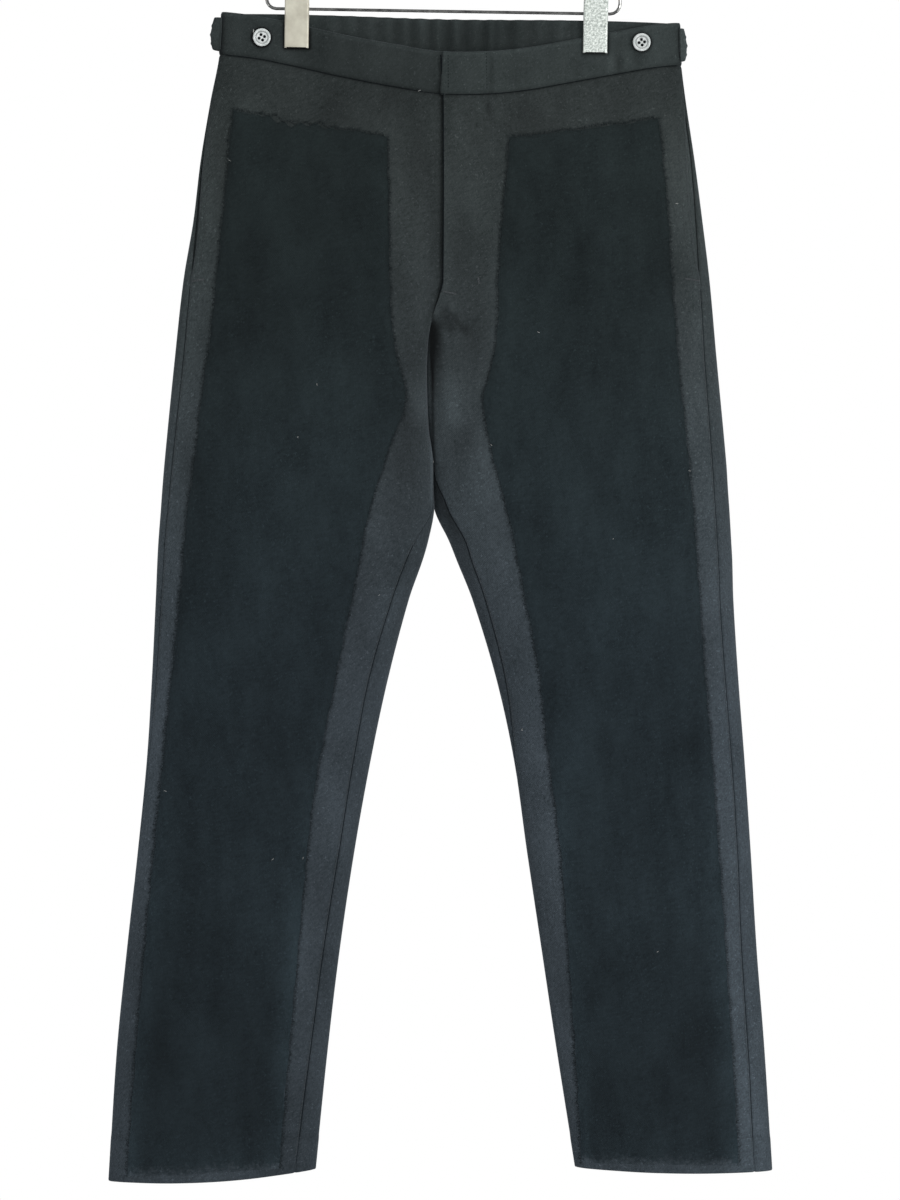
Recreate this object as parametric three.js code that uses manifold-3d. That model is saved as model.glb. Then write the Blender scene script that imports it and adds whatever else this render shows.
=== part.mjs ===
// Double-front trousers hung flat from a wire hanger with two spring clips.
// Millimetres, +Z up. The front faces -Y and the wearer's right leg is at -X.
// The origin is the point where the hanger's hook rests on a rail.
// "drop" is the distance below the waist datum, a level just under the top of the back waistband.

import * as THREE from "three";
import { mergeVertices } from "three/addons/utils/BufferGeometryUtils.js";
import Module from "manifold-3d";

const wasm = await Module();
wasm.setup();

// Driving sizes of the cloth
const WAIST_DATUM_Z = -145;
const CLOTH = 1.6;
const HEM_CLOTH = 2.6;
const HEM_DEPTH = 35;
const HEM_TURN = 12;
const HEM_BACK_RISE = 2;
const SEAM_GAP = 0.3;
const BAND_HEIGHT = 37.5;
const BAND_LEVEL = 40;
const BAND_SIDE_TURN = 1.15;
const BAND_PROUD = 0.6;
const BAND_SUNK = 1.8;
const OVERLAY_GAP = 0.45;
const OVERLAY_CLOTH = 1.4;

// Levels down the legs, in drop
const FLY_END = 246;
const FORK = 400;
const FORK_HALF_GAP = 0.9;
const FORK_RUN_OUT = 40;
const HEM_NOMINAL = 1042;
const TOP_FADE = 150;
const HEM_FADE = 120;

// The clips squeeze both bands together and the cloth opens out below them
const CLIP_X = { right: -133.7, left: 135 };
const CLIP_WIDTH = 22.5;
const CLIP_GRIP = 14;
const PINCHED_TO = 45;
const OPEN_FROM = 175;
const PINCH_DEPTH = 2;
const SIDE_FOLD_DEPTH = 5;
const SIDE_FOLD_SHARE = 0.04;
const SIDE_FOLD_RUN = 34;
const BOW = { front: 16, back: 12 };

// How far round a section, in radians, its inner edge is drawn to the seam
const SEAM_PULL = 0.6;

// Steps of the differences that give a face's normal
const NORMAL_STEP = { turn: 0.05, drop: 0.5 };

// One row for each level of a leg. outer and inner are the outline's edges, and outseam and inseam
// say how far inside those edges the seams lie on the front, or behind it where negative.
const LEGS = {
  right: {
    name: "right",
    side: -1,
    hem: { outer: 1046, inner: 1035.5, sag: 5 },
    rows: [
      { drop: -6, outer: -201.5, inner: -1.5, outseam: 0, inseam: 0 },
      { drop: 36, outer: -204, inner: -1.5, outseam: 0, inseam: 0 },
      { drop: 75, outer: -211.5, inner: -1.5, outseam: 0.2, inseam: 0 },
      { drop: 129, outer: -220.5, inner: -1.5, outseam: 0.6, inseam: 0 },
      { drop: 183, outer: -227, inner: -1.5, outseam: 2, inseam: 0 },
      { drop: 237, outer: -236, inner: -1.5, outseam: 6.5, inseam: 0 },
      { drop: 309, outer: -244, inner: -12, outseam: 8, inseam: 0 },
      { drop: 400, outer: -253, inner: -11.8, outseam: 7, inseam: 0 },
      { drop: 445, outer: -256.5, inner: -10.8, outseam: 6.5, inseam: 2 },
      { drop: 471, outer: -258.5, inner: -15.5, outseam: 6, inseam: 11 },
      { drop: 489, outer: -259.5, inner: -20.7, outseam: 6, inseam: 14 },
      { drop: 525, outer: -261, inner: -33.3, outseam: 5, inseam: 15 },
      { drop: 597, outer: -264.5, inner: -52.2, outseam: 4, inseam: 16.5 },
      { drop: 669, outer: -269, inner: -67.5, outseam: 2, inseam: 15 },
      { drop: 750, outer: -277, inner: -82, outseam: 0.5, inseam: 13.5 },
      { drop: 840, outer: -287, inner: -95.4, outseam: -1, inseam: 14 },
      { drop: 930, outer: -296, inner: -106.2, outseam: -2, inseam: 15 },
      { drop: 1050, outer: -303.5, inner: -118.5, outseam: -4, inseam: 18 },
    ],
  },
  left: {
    name: "left",
    side: 1,
    hem: { outer: 1036.5, inner: 1033.5, sag: 3 },
    rows: [
      { drop: -6, outer: 210.5, inner: -1.5, outseam: 0.5, inseam: 0 },
      { drop: 36, outer: 211.5, inner: -1.5, outseam: 0.5, inseam: 0 },
      { drop: 75, outer: 216, inner: -1.5, outseam: 1, inseam: 0 },
      { drop: 129, outer: 224, inner: -1.5, outseam: 2, inseam: 0 },
      { drop: 183, outer: 231, inner: -1.5, outseam: 5, inseam: 0 },
      { drop: 237, outer: 237.5, inner: -1.5, outseam: 8.5, inseam: 0 },
      { drop: 309, outer: 244, inner: -12, outseam: 11, inseam: 0 },
      { drop: 400, outer: 252.5, inner: -10, outseam: 12.7, inseam: 0 },
      { drop: 445, outer: 255.5, inner: -8.8, outseam: 13, inseam: 15 },
      { drop: 471, outer: 257, inner: 2.7, outseam: 12.8, inseam: 14.5 },
      { drop: 489, outer: 258, inner: 9.9, outseam: 12.6, inseam: 13 },
      { drop: 525, outer: 259, inner: 24.3, outseam: 12.4, inseam: 11 },
      { drop: 597, outer: 263.5, inner: 45.9, outseam: 12, inseam: 7.5 },
      { drop: 669, outer: 269, inner: 61.5, outseam: 11.8, inseam: 1 },
      { drop: 750, outer: 274.5, inner: 73, outseam: 12, inseam: -3 },
      { drop: 840, outer: 280, inner: 86.4, outseam: 13.5, inseam: -5 },
      { drop: 930, outer: 287, inner: 99.9, outseam: 15, inseam: -6 },
      { drop: 1050, outer: 294.5, inner: 119, outseam: 16.5, inseam: -6 },
    ],
  },
};

// Where the two legs meet above the fork: the seam's place, how far each leg is rounded towards
// it, and how far it hides behind the right leg's fold.
const CENTRE = [
  { drop: -6, x: -1.5, rounding: 0, tuck: 0 },
  { drop: 238, x: -1.5, rounding: 0, tuck: 0 },
  { drop: 252, x: -5.5, rounding: 0.06, tuck: 0 },
  { drop: 268, x: -10.5, rounding: 0.2, tuck: 0.5 },
  { drop: 292, x: -12.5, rounding: 0.42, tuck: 3 },
  { drop: 330, x: -11.8, rounding: 0.72, tuck: 5 },
  { drop: 365, x: -11.5, rounding: 0.92, tuck: 4 },
  { drop: FORK, x: -10.9, rounding: 1, tuck: 0 },
];

// Half depths of the hollow form, and how far each leg's inner edge leans back
const DEPTHS = [
  { drop: -6, front: 19, back: 17, lean: 0 },
  { drop: 170, front: 21, back: 19, lean: 0 },
  { drop: 260, front: 23, back: 23, lean: 1 },
  { drop: 330, front: 25, back: 26, lean: 4 },
  { drop: 400, front: 25, back: 27, lean: 5 },
  { drop: 460, front: 24, back: 25, lean: 4 },
  { drop: 560, front: 22, back: 22, lean: 0 },
  { drop: 700, front: 18, back: 18, lean: 0 },
  { drop: 860, front: 16, back: 16, lean: 0 },
  { drop: 1050, front: 15, back: 15, lean: 0 },
];

// The seam under the front waistband, in drop at each x
const BAND_SEAM = [
  { x: -240, seam: 32 },
  { x: -204, seam: 34 },
  { x: -166, seam: 38.5 },
  { x: -138, seam: 44 },
  { x: -94, seam: 54 },
  { x: -46, seam: 64 },
  { x: -4, seam: 71 },
  { x: 40, seam: 70.5 },
  { x: 73, seam: 66.5 },
  { x: 118, seam: 58 },
  { x: 157, seam: 51 },
  { x: 196, seam: 45 },
  { x: 240, seam: 43 },
];
const BACK_TOP = { middle: 1.5, slope: 0.0208 };
const SIDE_RUN = 0.8;

// The doubled front panel on each leg: its edges at each level
const OVERLAYS = {
  right: {
    top: { outer: 84, inner: 109 },
    rows: [
      { drop: 84, outer: -191, inner: -53.5 },
      { drop: 147, outer: -196.5, inner: -51.8 },
      { drop: 237, outer: -205.5, inner: -50.4 },
      { drop: 283, outer: -210, inner: -48 },
      { drop: 310, outer: -214, inner: -43 },
      { drop: 339, outer: -218, inner: -36 },
      { drop: 354, outer: -220, inner: -37.5 },
      { drop: 375, outer: -222, inner: -45.5 },
      { drop: 400, outer: -225, inner: -54.5 },
      { drop: 450, outer: -232, inner: -70 },
      { drop: 500, outer: -236, inner: -79.5 },
      { drop: 555, outer: -241.5, inner: -91 },
      { drop: 617, outer: -248, inner: -103.5 },
      { drop: 695, outer: -256, inner: -118 },
      { drop: 777, outer: -264, inner: -127 },
      { drop: 855, outer: -271.5, inner: -134 },
      { drop: 943, outer: -279, inner: -142 },
      { drop: 1040, outer: -286, inner: -150 },
    ],
  },
  left: {
    top: { outer: 92, inner: 110 },
    rows: [
      { drop: 92, outer: 191, inner: 59 },
      { drop: 142, outer: 196, inner: 55 },
      { drop: 181, outer: 199.5, inner: 51.3 },
      { drop: 233, outer: 202.5, inner: 47.7 },
      { drop: 284, outer: 206.5, inner: 46.4 },
      { drop: 326, outer: 209.5, inner: 38.7 },
      { drop: 341, outer: 211, inner: 33.5 },
      { drop: 363, outer: 213.5, inner: 36 },
      { drop: 387, outer: 216, inner: 40.5 },
      { drop: 423, outer: 219.5, inner: 49.5 },
      { drop: 455, outer: 222.5, inner: 58 },
      { drop: 524, outer: 227.5, inner: 71.7 },
      { drop: 587, outer: 232, inner: 83.7 },
      { drop: 652, outer: 237.5, inner: 91 },
      { drop: 747, outer: 244.5, inner: 103 },
      { drop: 814, outer: 249.5, inner: 108.5 },
      { drop: 887, outer: 254, inner: 113.5 },
      { drop: 969, outer: 259.5, inner: 119 },
      { drop: 1040, outer: 263, inner: 123 },
    ],
  },
};
const OVERLAY_HEM_INSET = 7;
// Where the overlay's bottom corners lie across the leg, as shares of its width
const OVERLAY_HEM_SPAN = { outer: 0.12, inner: 0.85 };
// Panel levels nearer than this to an overlay's top or bottom edge are left out of it
const OVERLAY_CLEAR = { top: 12, bottom: 20 };

// How far the pocket's mouth gapes in front of the outseam
const POCKETS = {
  right: [
    { drop: 80, gape: 0 },
    { drop: 150, gape: 2 },
    { drop: 185, gape: 3 },
    { drop: 210, gape: 2.5 },
    { drop: 238, gape: 0 },
  ],
  left: [
    { drop: 80, gape: 0 },
    { drop: 120, gape: 4 },
    { drop: 165, gape: 5.5 },
    { drop: 205, gape: 4 },
    { drop: 238, gape: 0 },
  ],
};
const POCKET_FACING = { top: 92, bottom: 242, under: 16, sunk: 2.3, cloth: 1.2 };

// The fly: the left front laps over the right front, and a shield backs them
const FLY_LAP = { reach: 8, from: 0.5, above: 14, runOut: 20 };
const FLY_SINK = { from: 0.95, over: 0.5, above: 4, runOut: 44 };
const FLY_SUNK = 2.2;
const BAND_LAP_SUNK = 2.9;
const FLY_SHIELD = { from: -32, to: 38, top: 74, bottom: 250, sunk: 4.3, cloth: 1.4 };

// Side adjuster straps, which come out at the side fold and run to the back, and the buttons
const STRAPS = {
  right: { backEnd: -150, bulge: 6.2, button: { x: -165.6, drop: 19, turn: -17 } },
  left: { backEnd: 150, bulge: 3.2, button: { x: 176.4, drop: 23.5, turn: -8 } },
};
const STRAP = { height: 28, cloth: 1.8, lift: 1 };
const STRAP_TURN = { front: 0.16, loopTo: -0.42, flatFrom: -0.5, slackTo: 0.62, level: 20 };
const BUTTON = { radius: 8, rim: 1.5, thick: 2.8, dish: 1, holeRadius: 0.9, holeCircle: 2.4, gap: 0.5 };

// Gathers in the back waistband, drawn in by its elastic
const GATHERS = { halfWidth: 119, count: 13, deep: 1.5, fade: 26, wander: 0.9, atFoot: 0.25 };
const GATHER_COLUMNS = 81;
const BAND_SIDE_COLUMNS = 12;

// Wire hanger
const WIRE = 3;
const WIRE_SIDES = 10;
const HANGER_TILT = THREE.MathUtils.degToRad(0.93);
const BAR = { z: -140, half: 159, corner: 9 };
const NECK = { z: -62, shoulder: 22, shoulderRadius: 12, collarRadius: 3.6, collarHeight: 12 };
const HOOK = { radius: 17, from: -55, to: 190, sway: 2.4, swayZ: -42 };

// Spring clips
const CLIP = {
  plate: 1,
  face: 3.1,
  barY: 6.4,
  tabY: 13,
  tabRise: 26,
  shoulder: 5,
  earInset: 1.4,
  earHole: 1.9,
  earReach: 4.2,
};
const CLIP_LIP = { right: 28, left: 32.5 };
const SPRING = { radius: 2.45, wire: 1.2, turns: 3.5, half: 6, sides: 6, stepsPerTurn: 12, rise: 18 };

const MATERIALS = {
  cloth: cloth(0x2f3335),
  band: cloth(0x2e3234),
  overlay: cloth(0x1d2123),
  button: new THREE.MeshStandardMaterial({ color: 0xa9adb0, roughness: 0.4, metalness: 0 }),
  wire: new THREE.MeshStandardMaterial({ color: 0xb9bcbe, roughness: 0.25, metalness: 1 }),
  clip: new THREE.MeshStandardMaterial({ color: 0xc9c8c0, roughness: 0.35, metalness: 1 }),
};

function cloth(color) {
  return new THREE.MeshStandardMaterial({ color, roughness: 0.92, metalness: 0 });
}

const clamp01 = (t) => Math.min(1, Math.max(0, t));
const smooth = (t) => clamp01(t) ** 2 * (3 - 2 * clamp01(t));
const mix = (a, b, t) => a + (b - a) * t;

// Reads a column of a table at a place between its rows, on a smooth curve through them.
function read(rows, key, column, at) {
  const last = rows.length - 1;
  if (at <= rows[0][key]) return rows[0][column];
  if (at >= rows[last][key]) return rows[last][column];
  const i = rows.findIndex((row) => row[key] > at) - 1;
  const slope = (k) => {
    const a = rows[Math.max(0, k - 1)];
    const b = rows[Math.min(last, k + 1)];
    return (b[column] - a[column]) / (b[key] - a[key]);
  };
  const span = rows[i + 1][key] - rows[i][key];
  const t = (at - rows[i][key]) / span;
  const h = t * t * (3 - 2 * t);
  return (
    mix(rows[i][column], rows[i + 1][column], h) +
    span * slope(i) * t * (1 - t) ** 2 -
    span * slope(i + 1) * t * t * (1 - t)
  );
}

const outerX = (leg, drop) => read(leg.rows, "drop", "outer", drop);
const centreX = (drop) => read(CENTRE, "drop", "x", drop);
function innerX(leg, drop) {
  if (drop >= FORK) return read(leg.rows, "drop", "inner", drop);
  return centreX(drop) + leg.side * FORK_HALF_GAP * smooth((drop - FLY_END) / (FORK - FLY_END));
}

// The angle round a section: 0 at the side fold, PI at the inner edge, the front between them
// and the back beyond. inset is measured along x from the edge.
const angleAt = (share) => Math.acos(1 - 2 * clamp01(share));
const angleOfX = (leg, x, drop) => angleAt((x - outerX(leg, drop)) / (innerX(leg, drop) - outerX(leg, drop)));
function edgeAngle(leg, inset, drop) {
  const width = Math.abs(innerX(leg, drop) - outerX(leg, drop));
  return Math.sign(inset) * angleAt(Math.abs(inset) / width);
}
const outseamAngle = (leg, drop) => edgeAngle(leg, read(leg.rows, "drop", "outseam", drop), drop);
function inseamAngle(leg, drop) {
  return drop <= FORK ? Math.PI : Math.PI - edgeAngle(leg, read(leg.rows, "drop", "inseam", drop), drop);
}

// How far a flattened tube stands out at a turn round it, as a share of its half depth: an ellipse,
// a little fuller.
const fullness = (turn) => Math.sin(turn) * (1.25 - 0.25 * Math.sin(turn) ** 2);

// Half depth at the waist, where the clips pinch the layers and the cloth bows out between them.
function pinchedDepth(x, bow) {
  const flat = Math.abs(CLIP_X[x < 0 ? "right" : "left"]);
  const inside = flat - CLIP_GRIP;
  if (Math.abs(x) < inside) return PINCH_DEPTH + bow * Math.cos((Math.PI * x) / (2 * inside)) ** 2;
  const beyond = smooth((Math.abs(x) - flat - CLIP_GRIP) / SIDE_FOLD_RUN);
  return mix(PINCH_DEPTH, SIDE_FOLD_DEPTH, beyond);
}

// A point of a leg's flattened section, before its inner edge is drawn to the seam.
function rawPoint(leg, angle, drop) {
  const across = (1 - Math.cos(angle)) / 2;
  const back = Math.sin(angle) < 0;
  const x = mix(outerX(leg, drop), innerX(leg, drop), across);
  const depth = read(DEPTHS, "drop", back ? "back" : "front", drop);
  const rounding = read(CENTRE, "drop", "rounding", drop);
  const closed = fullness(Math.acos(1 - 2 * across));
  const open = fullness(Math.acos(1 - across));
  const foldEdge = Math.sqrt(1 - (1 - Math.min(1, across / SIDE_FOLD_SHARE)) ** 2);
  const pinched = pinchedDepth(x, back ? BOW.back : BOW.front) * foldEdge;
  const hung = depth * mix(open, closed, rounding);
  const half = mix(pinched, hung, smooth((drop - PINCHED_TO) / (OPEN_FROM - PINCHED_TO)));
  const lean = leg.side * read(DEPTHS, "drop", "lean", drop) * across * across;
  return new THREE.Vector3(x, lean + (back ? half : -half), WAIST_DATUM_Z - drop);
}

// The inner edge's angle, a hair to the front or to the back of it.
const centreAngle = (back) => Math.PI + (back ? 1e-6 : -1e-6);

// Where the centre seam lies, on the front or the back, down to the fork.
function centreSeam(back, drop) {
  const half = rawPoint(LEGS.left, centreAngle(back), drop);
  const lean = read(DEPTHS, "drop", "lean", drop);
  const tuck = back ? 0 : read(CENTRE, "drop", "tuck", drop);
  return new THREE.Vector3(centreX(drop) - tuck, half.y - lean, half.z);
}

// A point of the trousers' outer face: the raw section with its inner edge drawn to the seam.
function facePoint(leg, angle, drop) {
  const point = rawPoint(leg, angle, drop);
  const seamAngle = inseamAngle(leg, drop);
  const near = 1 - smooth(Math.abs(angle - seamAngle) / SEAM_PULL);
  if (near === 0) return point;
  const back = angle > seamAngle || Math.sin(angle) < 0;
  const own = rawPoint(leg, drop <= FORK ? centreAngle(back) : seamAngle, drop);
  let target = own;
  if (drop <= FORK) {
    target = centreSeam(back, drop);
  } else {
    const fork = centreSeam(false, FORK).setZ(own.z);
    target = own.clone().lerp(fork, 1 - smooth((drop - FORK) / FORK_RUN_OUT));
  }
  return point.addScaledVector(target.sub(own), near);
}

// Outward normal by differences that stay between two angles.
function faceNormal(leg, angle, drop, low, high) {
  const a = facePoint(leg, Math.max(low, angle - NORMAL_STEP.turn), drop);
  const b = facePoint(leg, Math.min(high, angle + NORMAL_STEP.turn), drop);
  const c = facePoint(leg, angle, drop - NORMAL_STEP.drop);
  const d = facePoint(leg, angle, drop + NORMAL_STEP.drop);
  return b.sub(a).cross(d.sub(c)).normalize().multiplyScalar(leg.side);
}

// Waistband and hem lines
const frontSeam = (x) => read(BAND_SEAM, "x", "seam", x);
const backTop = (x) => BACK_TOP.middle + BACK_TOP.slope * x;
// The seam under the waistband at any place round it: the back's level runs into the front's at the side.
function bandFoot(angle, x) {
  if (Math.sin(angle) >= 0) return frontSeam(x);
  const fromSide = angle < 0 ? -angle : 2 * Math.PI - angle;
  return mix(frontSeam(x), backTop(x) + BAND_HEIGHT, smooth(fromSide / SIDE_RUN));
}
function hemDrop(leg, angle) {
  const across = (1 - Math.cos(angle)) / 2;
  const front = mix(leg.hem.outer, leg.hem.inner, across) + leg.hem.sag * Math.sin(Math.PI * across);
  return Math.sin(angle) < 0 ? front - HEM_BACK_RISE * Math.sin(Math.PI * across) : front;
}

// Moves a nominal level so that the first row follows the top edge and the last one the hem.
function bentLevel(level, first, top, hem) {
  const atTop = (top - first) * (1 - smooth((level - first) / TOP_FADE));
  const atHem = (hem - HEM_NOMINAL) * smooth((level - (HEM_NOMINAL - HEM_FADE)) / HEM_FADE);
  return level + atTop + atHem;
}

// A closed wall from a grid of points and outward normals: rows of { point, normal, out, into }.
// Its edge faces are split along the same diagonals on both sides of a seam, so that they match.
function wall(grid) {
  const rows = grid.length;
  const columns = grid[0].length;
  const end = columns - 1;
  const positions = [];
  for (const side of ["out", "into"])
    for (const row of grid)
      for (const { point, normal, [side]: move } of row) {
        positions.push(...point.clone().addScaledVector(normal, move));
      }
  const faces = [];
  const quad = (a, b, c, d) => faces.push(a, b, c, a, c, d);
  const at = (layer, i, j) => layer * rows * columns + i * columns + j;
  for (let i = 0; i + 1 < rows; i++)
    for (let j = 0; j + 1 < columns; j++) {
      quad(at(0, i, j), at(0, i, j + 1), at(0, i + 1, j + 1), at(0, i + 1, j));
      quad(at(1, i, j), at(1, i + 1, j), at(1, i + 1, j + 1), at(1, i, j + 1));
    }
  for (let j = 0; j + 1 < columns; j++) {
    quad(at(0, 0, j), at(1, 0, j), at(1, 0, j + 1), at(0, 0, j + 1));
    quad(at(0, rows - 1, j), at(0, rows - 1, j + 1), at(1, rows - 1, j + 1), at(1, rows - 1, j));
  }
  for (let i = 0; i + 1 < rows; i++) {
    quad(at(0, i, 0), at(0, i + 1, 0), at(1, i + 1, 0), at(1, i, 0));
    quad(at(0, i, end), at(1, i, end), at(1, i + 1, end), at(0, i + 1, end));
  }
  return facingOut(positions, faces);
}

// A geometry whose faces point outwards, whichever way its grid ran.
function facingOut(positions, faces) {
  const corner = (k) => new THREE.Vector3().fromArray(positions, 3 * faces[k]);
  let volume = 0;
  for (let k = 0; k < faces.length; k += 3) volume += corner(k).dot(corner(k + 1).cross(corner(k + 2)));
  if (volume < 0)
    for (let k = 0; k < faces.length; k += 3) [faces[k + 1], faces[k + 2]] = [faces[k + 2], faces[k + 1]];
  const geometry = new THREE.BufferGeometry();
  geometry.setAttribute("position", new THREE.Float32BufferAttribute(positions, 3));
  geometry.setIndex(faces);
  return geometry;
}

// Draws a row's two end points back along the row, to leave half a seam gap at each.
function setBack(row) {
  const ends = [
    [row[0], row[1]],
    [row[row.length - 1], row[row.length - 2]],
  ];
  for (const [end, next] of ends)
    end.point.addScaledVector(next.point.clone().sub(end.point).normalize(), SEAM_GAP / 2);
  return row;
}

const spread = (from, to, count) => Array.from({ length: count }, (_, k) => mix(from, to, k / (count - 1)));

const PANEL_LEVELS = [
  [BAND_LEVEL, 62, 90, 118, 147, 183, 215, 237],
  [252, 268, 283, 300, 320, 339, 354, 375, FORK],
  [423, 445, 458, 471, 489, 524, 587, 652, 700],
  [747, 840, 930, 1000, HEM_NOMINAL],
].flat();
const BACK_COLUMNS = 14;
const FRONT_COLUMNS = { besideOuter: 3, overlay: 8, besideInner: 4 };

// The angles of a panel's columns at a level. The front's fall on its overlay's edges, so that the
// overlay can be made from the same columns.
function panelAngles(leg, back, drop) {
  const outseam = outseamAngle(leg, drop);
  const inseam = inseamAngle(leg, drop);
  if (back) {
    const start = drop < FORK ? centreAngle(true) : inseam;
    return spread(start, 2 * Math.PI + outseam, BACK_COLUMNS);
  }
  const mouth = read(leg.rows, "drop", "outseam", drop) + read(POCKETS[leg.name], "drop", "gape", drop);
  const start = mouth > 0 ? edgeAngle(leg, mouth, drop) : outseam;
  const [outer, inner] = overlayEdges(leg, drop);
  return [
    ...spread(start, outer, FRONT_COLUMNS.besideOuter + 1).slice(0, -1),
    ...spread(outer, inner, FRONT_COLUMNS.overlay + 1),
    ...spread(inner, inseam, FRONT_COLUMNS.besideInner + 1).slice(1),
  ];
}

function overlayEdges(leg, drop) {
  const { rows } = OVERLAYS[leg.name];
  return ["outer", "inner"].map((edge) => angleOfX(leg, read(rows, "drop", edge, drop), drop));
}

// One front or back leg panel, from its outseam to its inner seam.
function legPanel(leg, back) {
  const first = PANEL_LEVELS[0];
  const grid = PANEL_LEVELS.map((level) =>
    setBack(
      panelAngles(leg, back, level).map((guess, column) => {
        const top = bandFoot(guess, facePoint(leg, guess, level).x) + SEAM_GAP / 2;
        const drop = bentLevel(level, first, top, hemDrop(leg, guess));
        const angle = panelAngles(leg, back, drop)[column];
        const point = facePoint(leg, angle, drop);
        const normal = panelNormal(leg, back, angle, drop);
        if (!back && leg.side < 0) lapUnder(point, angle, drop, FLY_SUNK, FLY_END);
        const doubled = smooth((drop - (HEM_NOMINAL - HEM_DEPTH - HEM_TURN)) / HEM_TURN);
        return { point, normal, out: 0, into: -mix(CLOTH, HEM_CLOTH, doubled) };
      }),
    ),
  );
  return wall(grid);
}

// The normal of a panel, which ends at the centre seam above the fork.
function panelNormal(leg, back, angle, drop) {
  const low = back && drop < FORK ? centreAngle(true) : -1;
  const high = !back && drop < FORK ? centreAngle(false) : 7;
  return faceNormal(leg, angle, drop, low, high);
}

// Carries the right front's edge on behind the left front's, down to the end of the fly.
function lapUnder(point, angle, drop, sunk, end) {
  const reached = 1 - smooth((drop - end + FLY_LAP.above) / FLY_LAP.runOut);
  const lapped = 1 - smooth((drop - end + FLY_SINK.above) / FLY_SINK.runOut);
  point.x += FLY_LAP.reach * reached * smooth((angle - Math.PI + FLY_LAP.from) / FLY_LAP.from);
  point.y += sunk * lapped * smooth((angle - Math.PI + FLY_SINK.from) / FLY_SINK.over);
}

// A point of a patch that lies on the front, with its faces moved out by two distances.
function onFront(leg, angle, drop, out, into) {
  return { point: facePoint(leg, angle, drop), normal: faceNormal(leg, angle, drop, -1, Math.PI), out, into };
}

// The doubled front: a second cloth laid on the leg's front panel, raw at its edges.
function overlay(name) {
  const leg = LEGS[name];
  const { top } = OVERLAYS[name];
  const bottom = HEM_NOMINAL - OVERLAY_HEM_INSET;
  const first = top.outer;
  const clear = [first + OVERLAY_CLEAR.top, bottom - OVERLAY_CLEAR.bottom];
  const between = PANEL_LEVELS.filter((level) => level > clear[0] && level < clear[1]);
  const levels = [first, ...between, bottom];
  const dropAt = (level, share) => {
    const edge = mix(top.outer, top.inner, share);
    const across = mix(OVERLAY_HEM_SPAN.outer, OVERLAY_HEM_SPAN.inner, share);
    const hem = mix(leg.hem.outer, leg.hem.inner, across) + leg.hem.sag - OVERLAY_HEM_INSET;
    const atTop = (edge - first) * (1 - smooth((level - first) / TOP_FADE));
    const atHem = (hem - bottom) * smooth((level - (bottom - HEM_FADE)) / HEM_FADE);
    return level + atTop + atHem;
  };
  const out = OVERLAY_GAP + OVERLAY_CLOTH;
  return wall(
    levels.map((level) =>
      spread(0, 1, FRONT_COLUMNS.overlay + 1).map((share) => {
        const drop = dropAt(level, share);
        return onFront(leg, mix(...overlayEdges(leg, drop), share), drop, out, OVERLAY_GAP);
      }),
    ),
  );
}

// A front half of the waistband, from the side to the fly.
function frontBand(leg) {
  return wall(
    [0, 0.35, 0.7, 1].map((height) =>
      setBack(
        panelAngles(leg, false, BAND_LEVEL).map((guess, column) => {
          const foot = frontSeam(facePoint(leg, guess, BAND_LEVEL).x);
          const drop = foot - BAND_HEIGHT + (BAND_HEIGHT - SEAM_GAP / 2) * height;
          const angle = panelAngles(leg, false, drop)[column];
          const point = facePoint(leg, angle, drop);
          const normal = panelNormal(leg, false, angle, drop);
          if (leg.side < 0) lapUnder(point, angle, drop, BAND_LAP_SUNK, FLY_END);
          return { point, normal, out: BAND_PROUD, into: -BAND_SUNK };
        }),
      ),
    ),
  );
}

// Depth of the gathers across the back waistband: uneven waves that die out at both ends.
function gather(x) {
  const { halfWidth, count, deep, fade, wander } = GATHERS;
  const ends = smooth((halfWidth - Math.abs(x)) / fade);
  const phase = (Math.PI * count * x) / halfWidth + wander * Math.sin(x / 31) + wander * Math.sin(x / 17 + 1);
  return deep * ends * Math.sin(phase) * (0.75 + 0.25 * Math.sin(x / 23));
}

// The back waistband in one piece, from side to side, drawn up in gathers.
function backBand() {
  const sideColumns = (leg) => spread(0, 1, BAND_SIDE_COLUMNS).map((share) => ({ leg, share }));
  const places = [
    ...sideColumns(LEGS.right),
    ...spread(-GATHERS.halfWidth, GATHERS.halfWidth, GATHER_COLUMNS).map((x) => ({ x })),
    ...sideColumns(LEGS.left).reverse(),
  ];
  const angleAtPlace = ({ leg, share, x }, drop) => {
    if (share === undefined) return 2 * Math.PI - angleOfX(leg, x, drop);
    return 2 * Math.PI - mix(-outseamAngle(leg, drop), BAND_SIDE_TURN, share);
  };
  return wall(
    [0, 0.5, 1].map((height) =>
      setBack(
        places.map((place) => {
          place.leg ??= place.x < centreX(BAND_LEVEL) ? LEGS.right : LEGS.left;
          const guess = angleAtPlace(place, BAND_LEVEL);
          const foot = bandFoot(guess, facePoint(place.leg, guess, BAND_LEVEL).x);
          const drop = foot - BAND_HEIGHT + (BAND_HEIGHT - SEAM_GAP / 2) * height;
          const angle = angleAtPlace(place, drop);
          const point = facePoint(place.leg, angle, drop);
          const normal = panelNormal(place.leg, true, angle, drop);
          point.addScaledVector(normal, gather(point.x) * mix(1, GATHERS.atFoot, height));
          return { point, normal, out: BAND_PROUD, into: -BAND_SUNK };
        }),
      ),
    ),
  );
}

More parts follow.
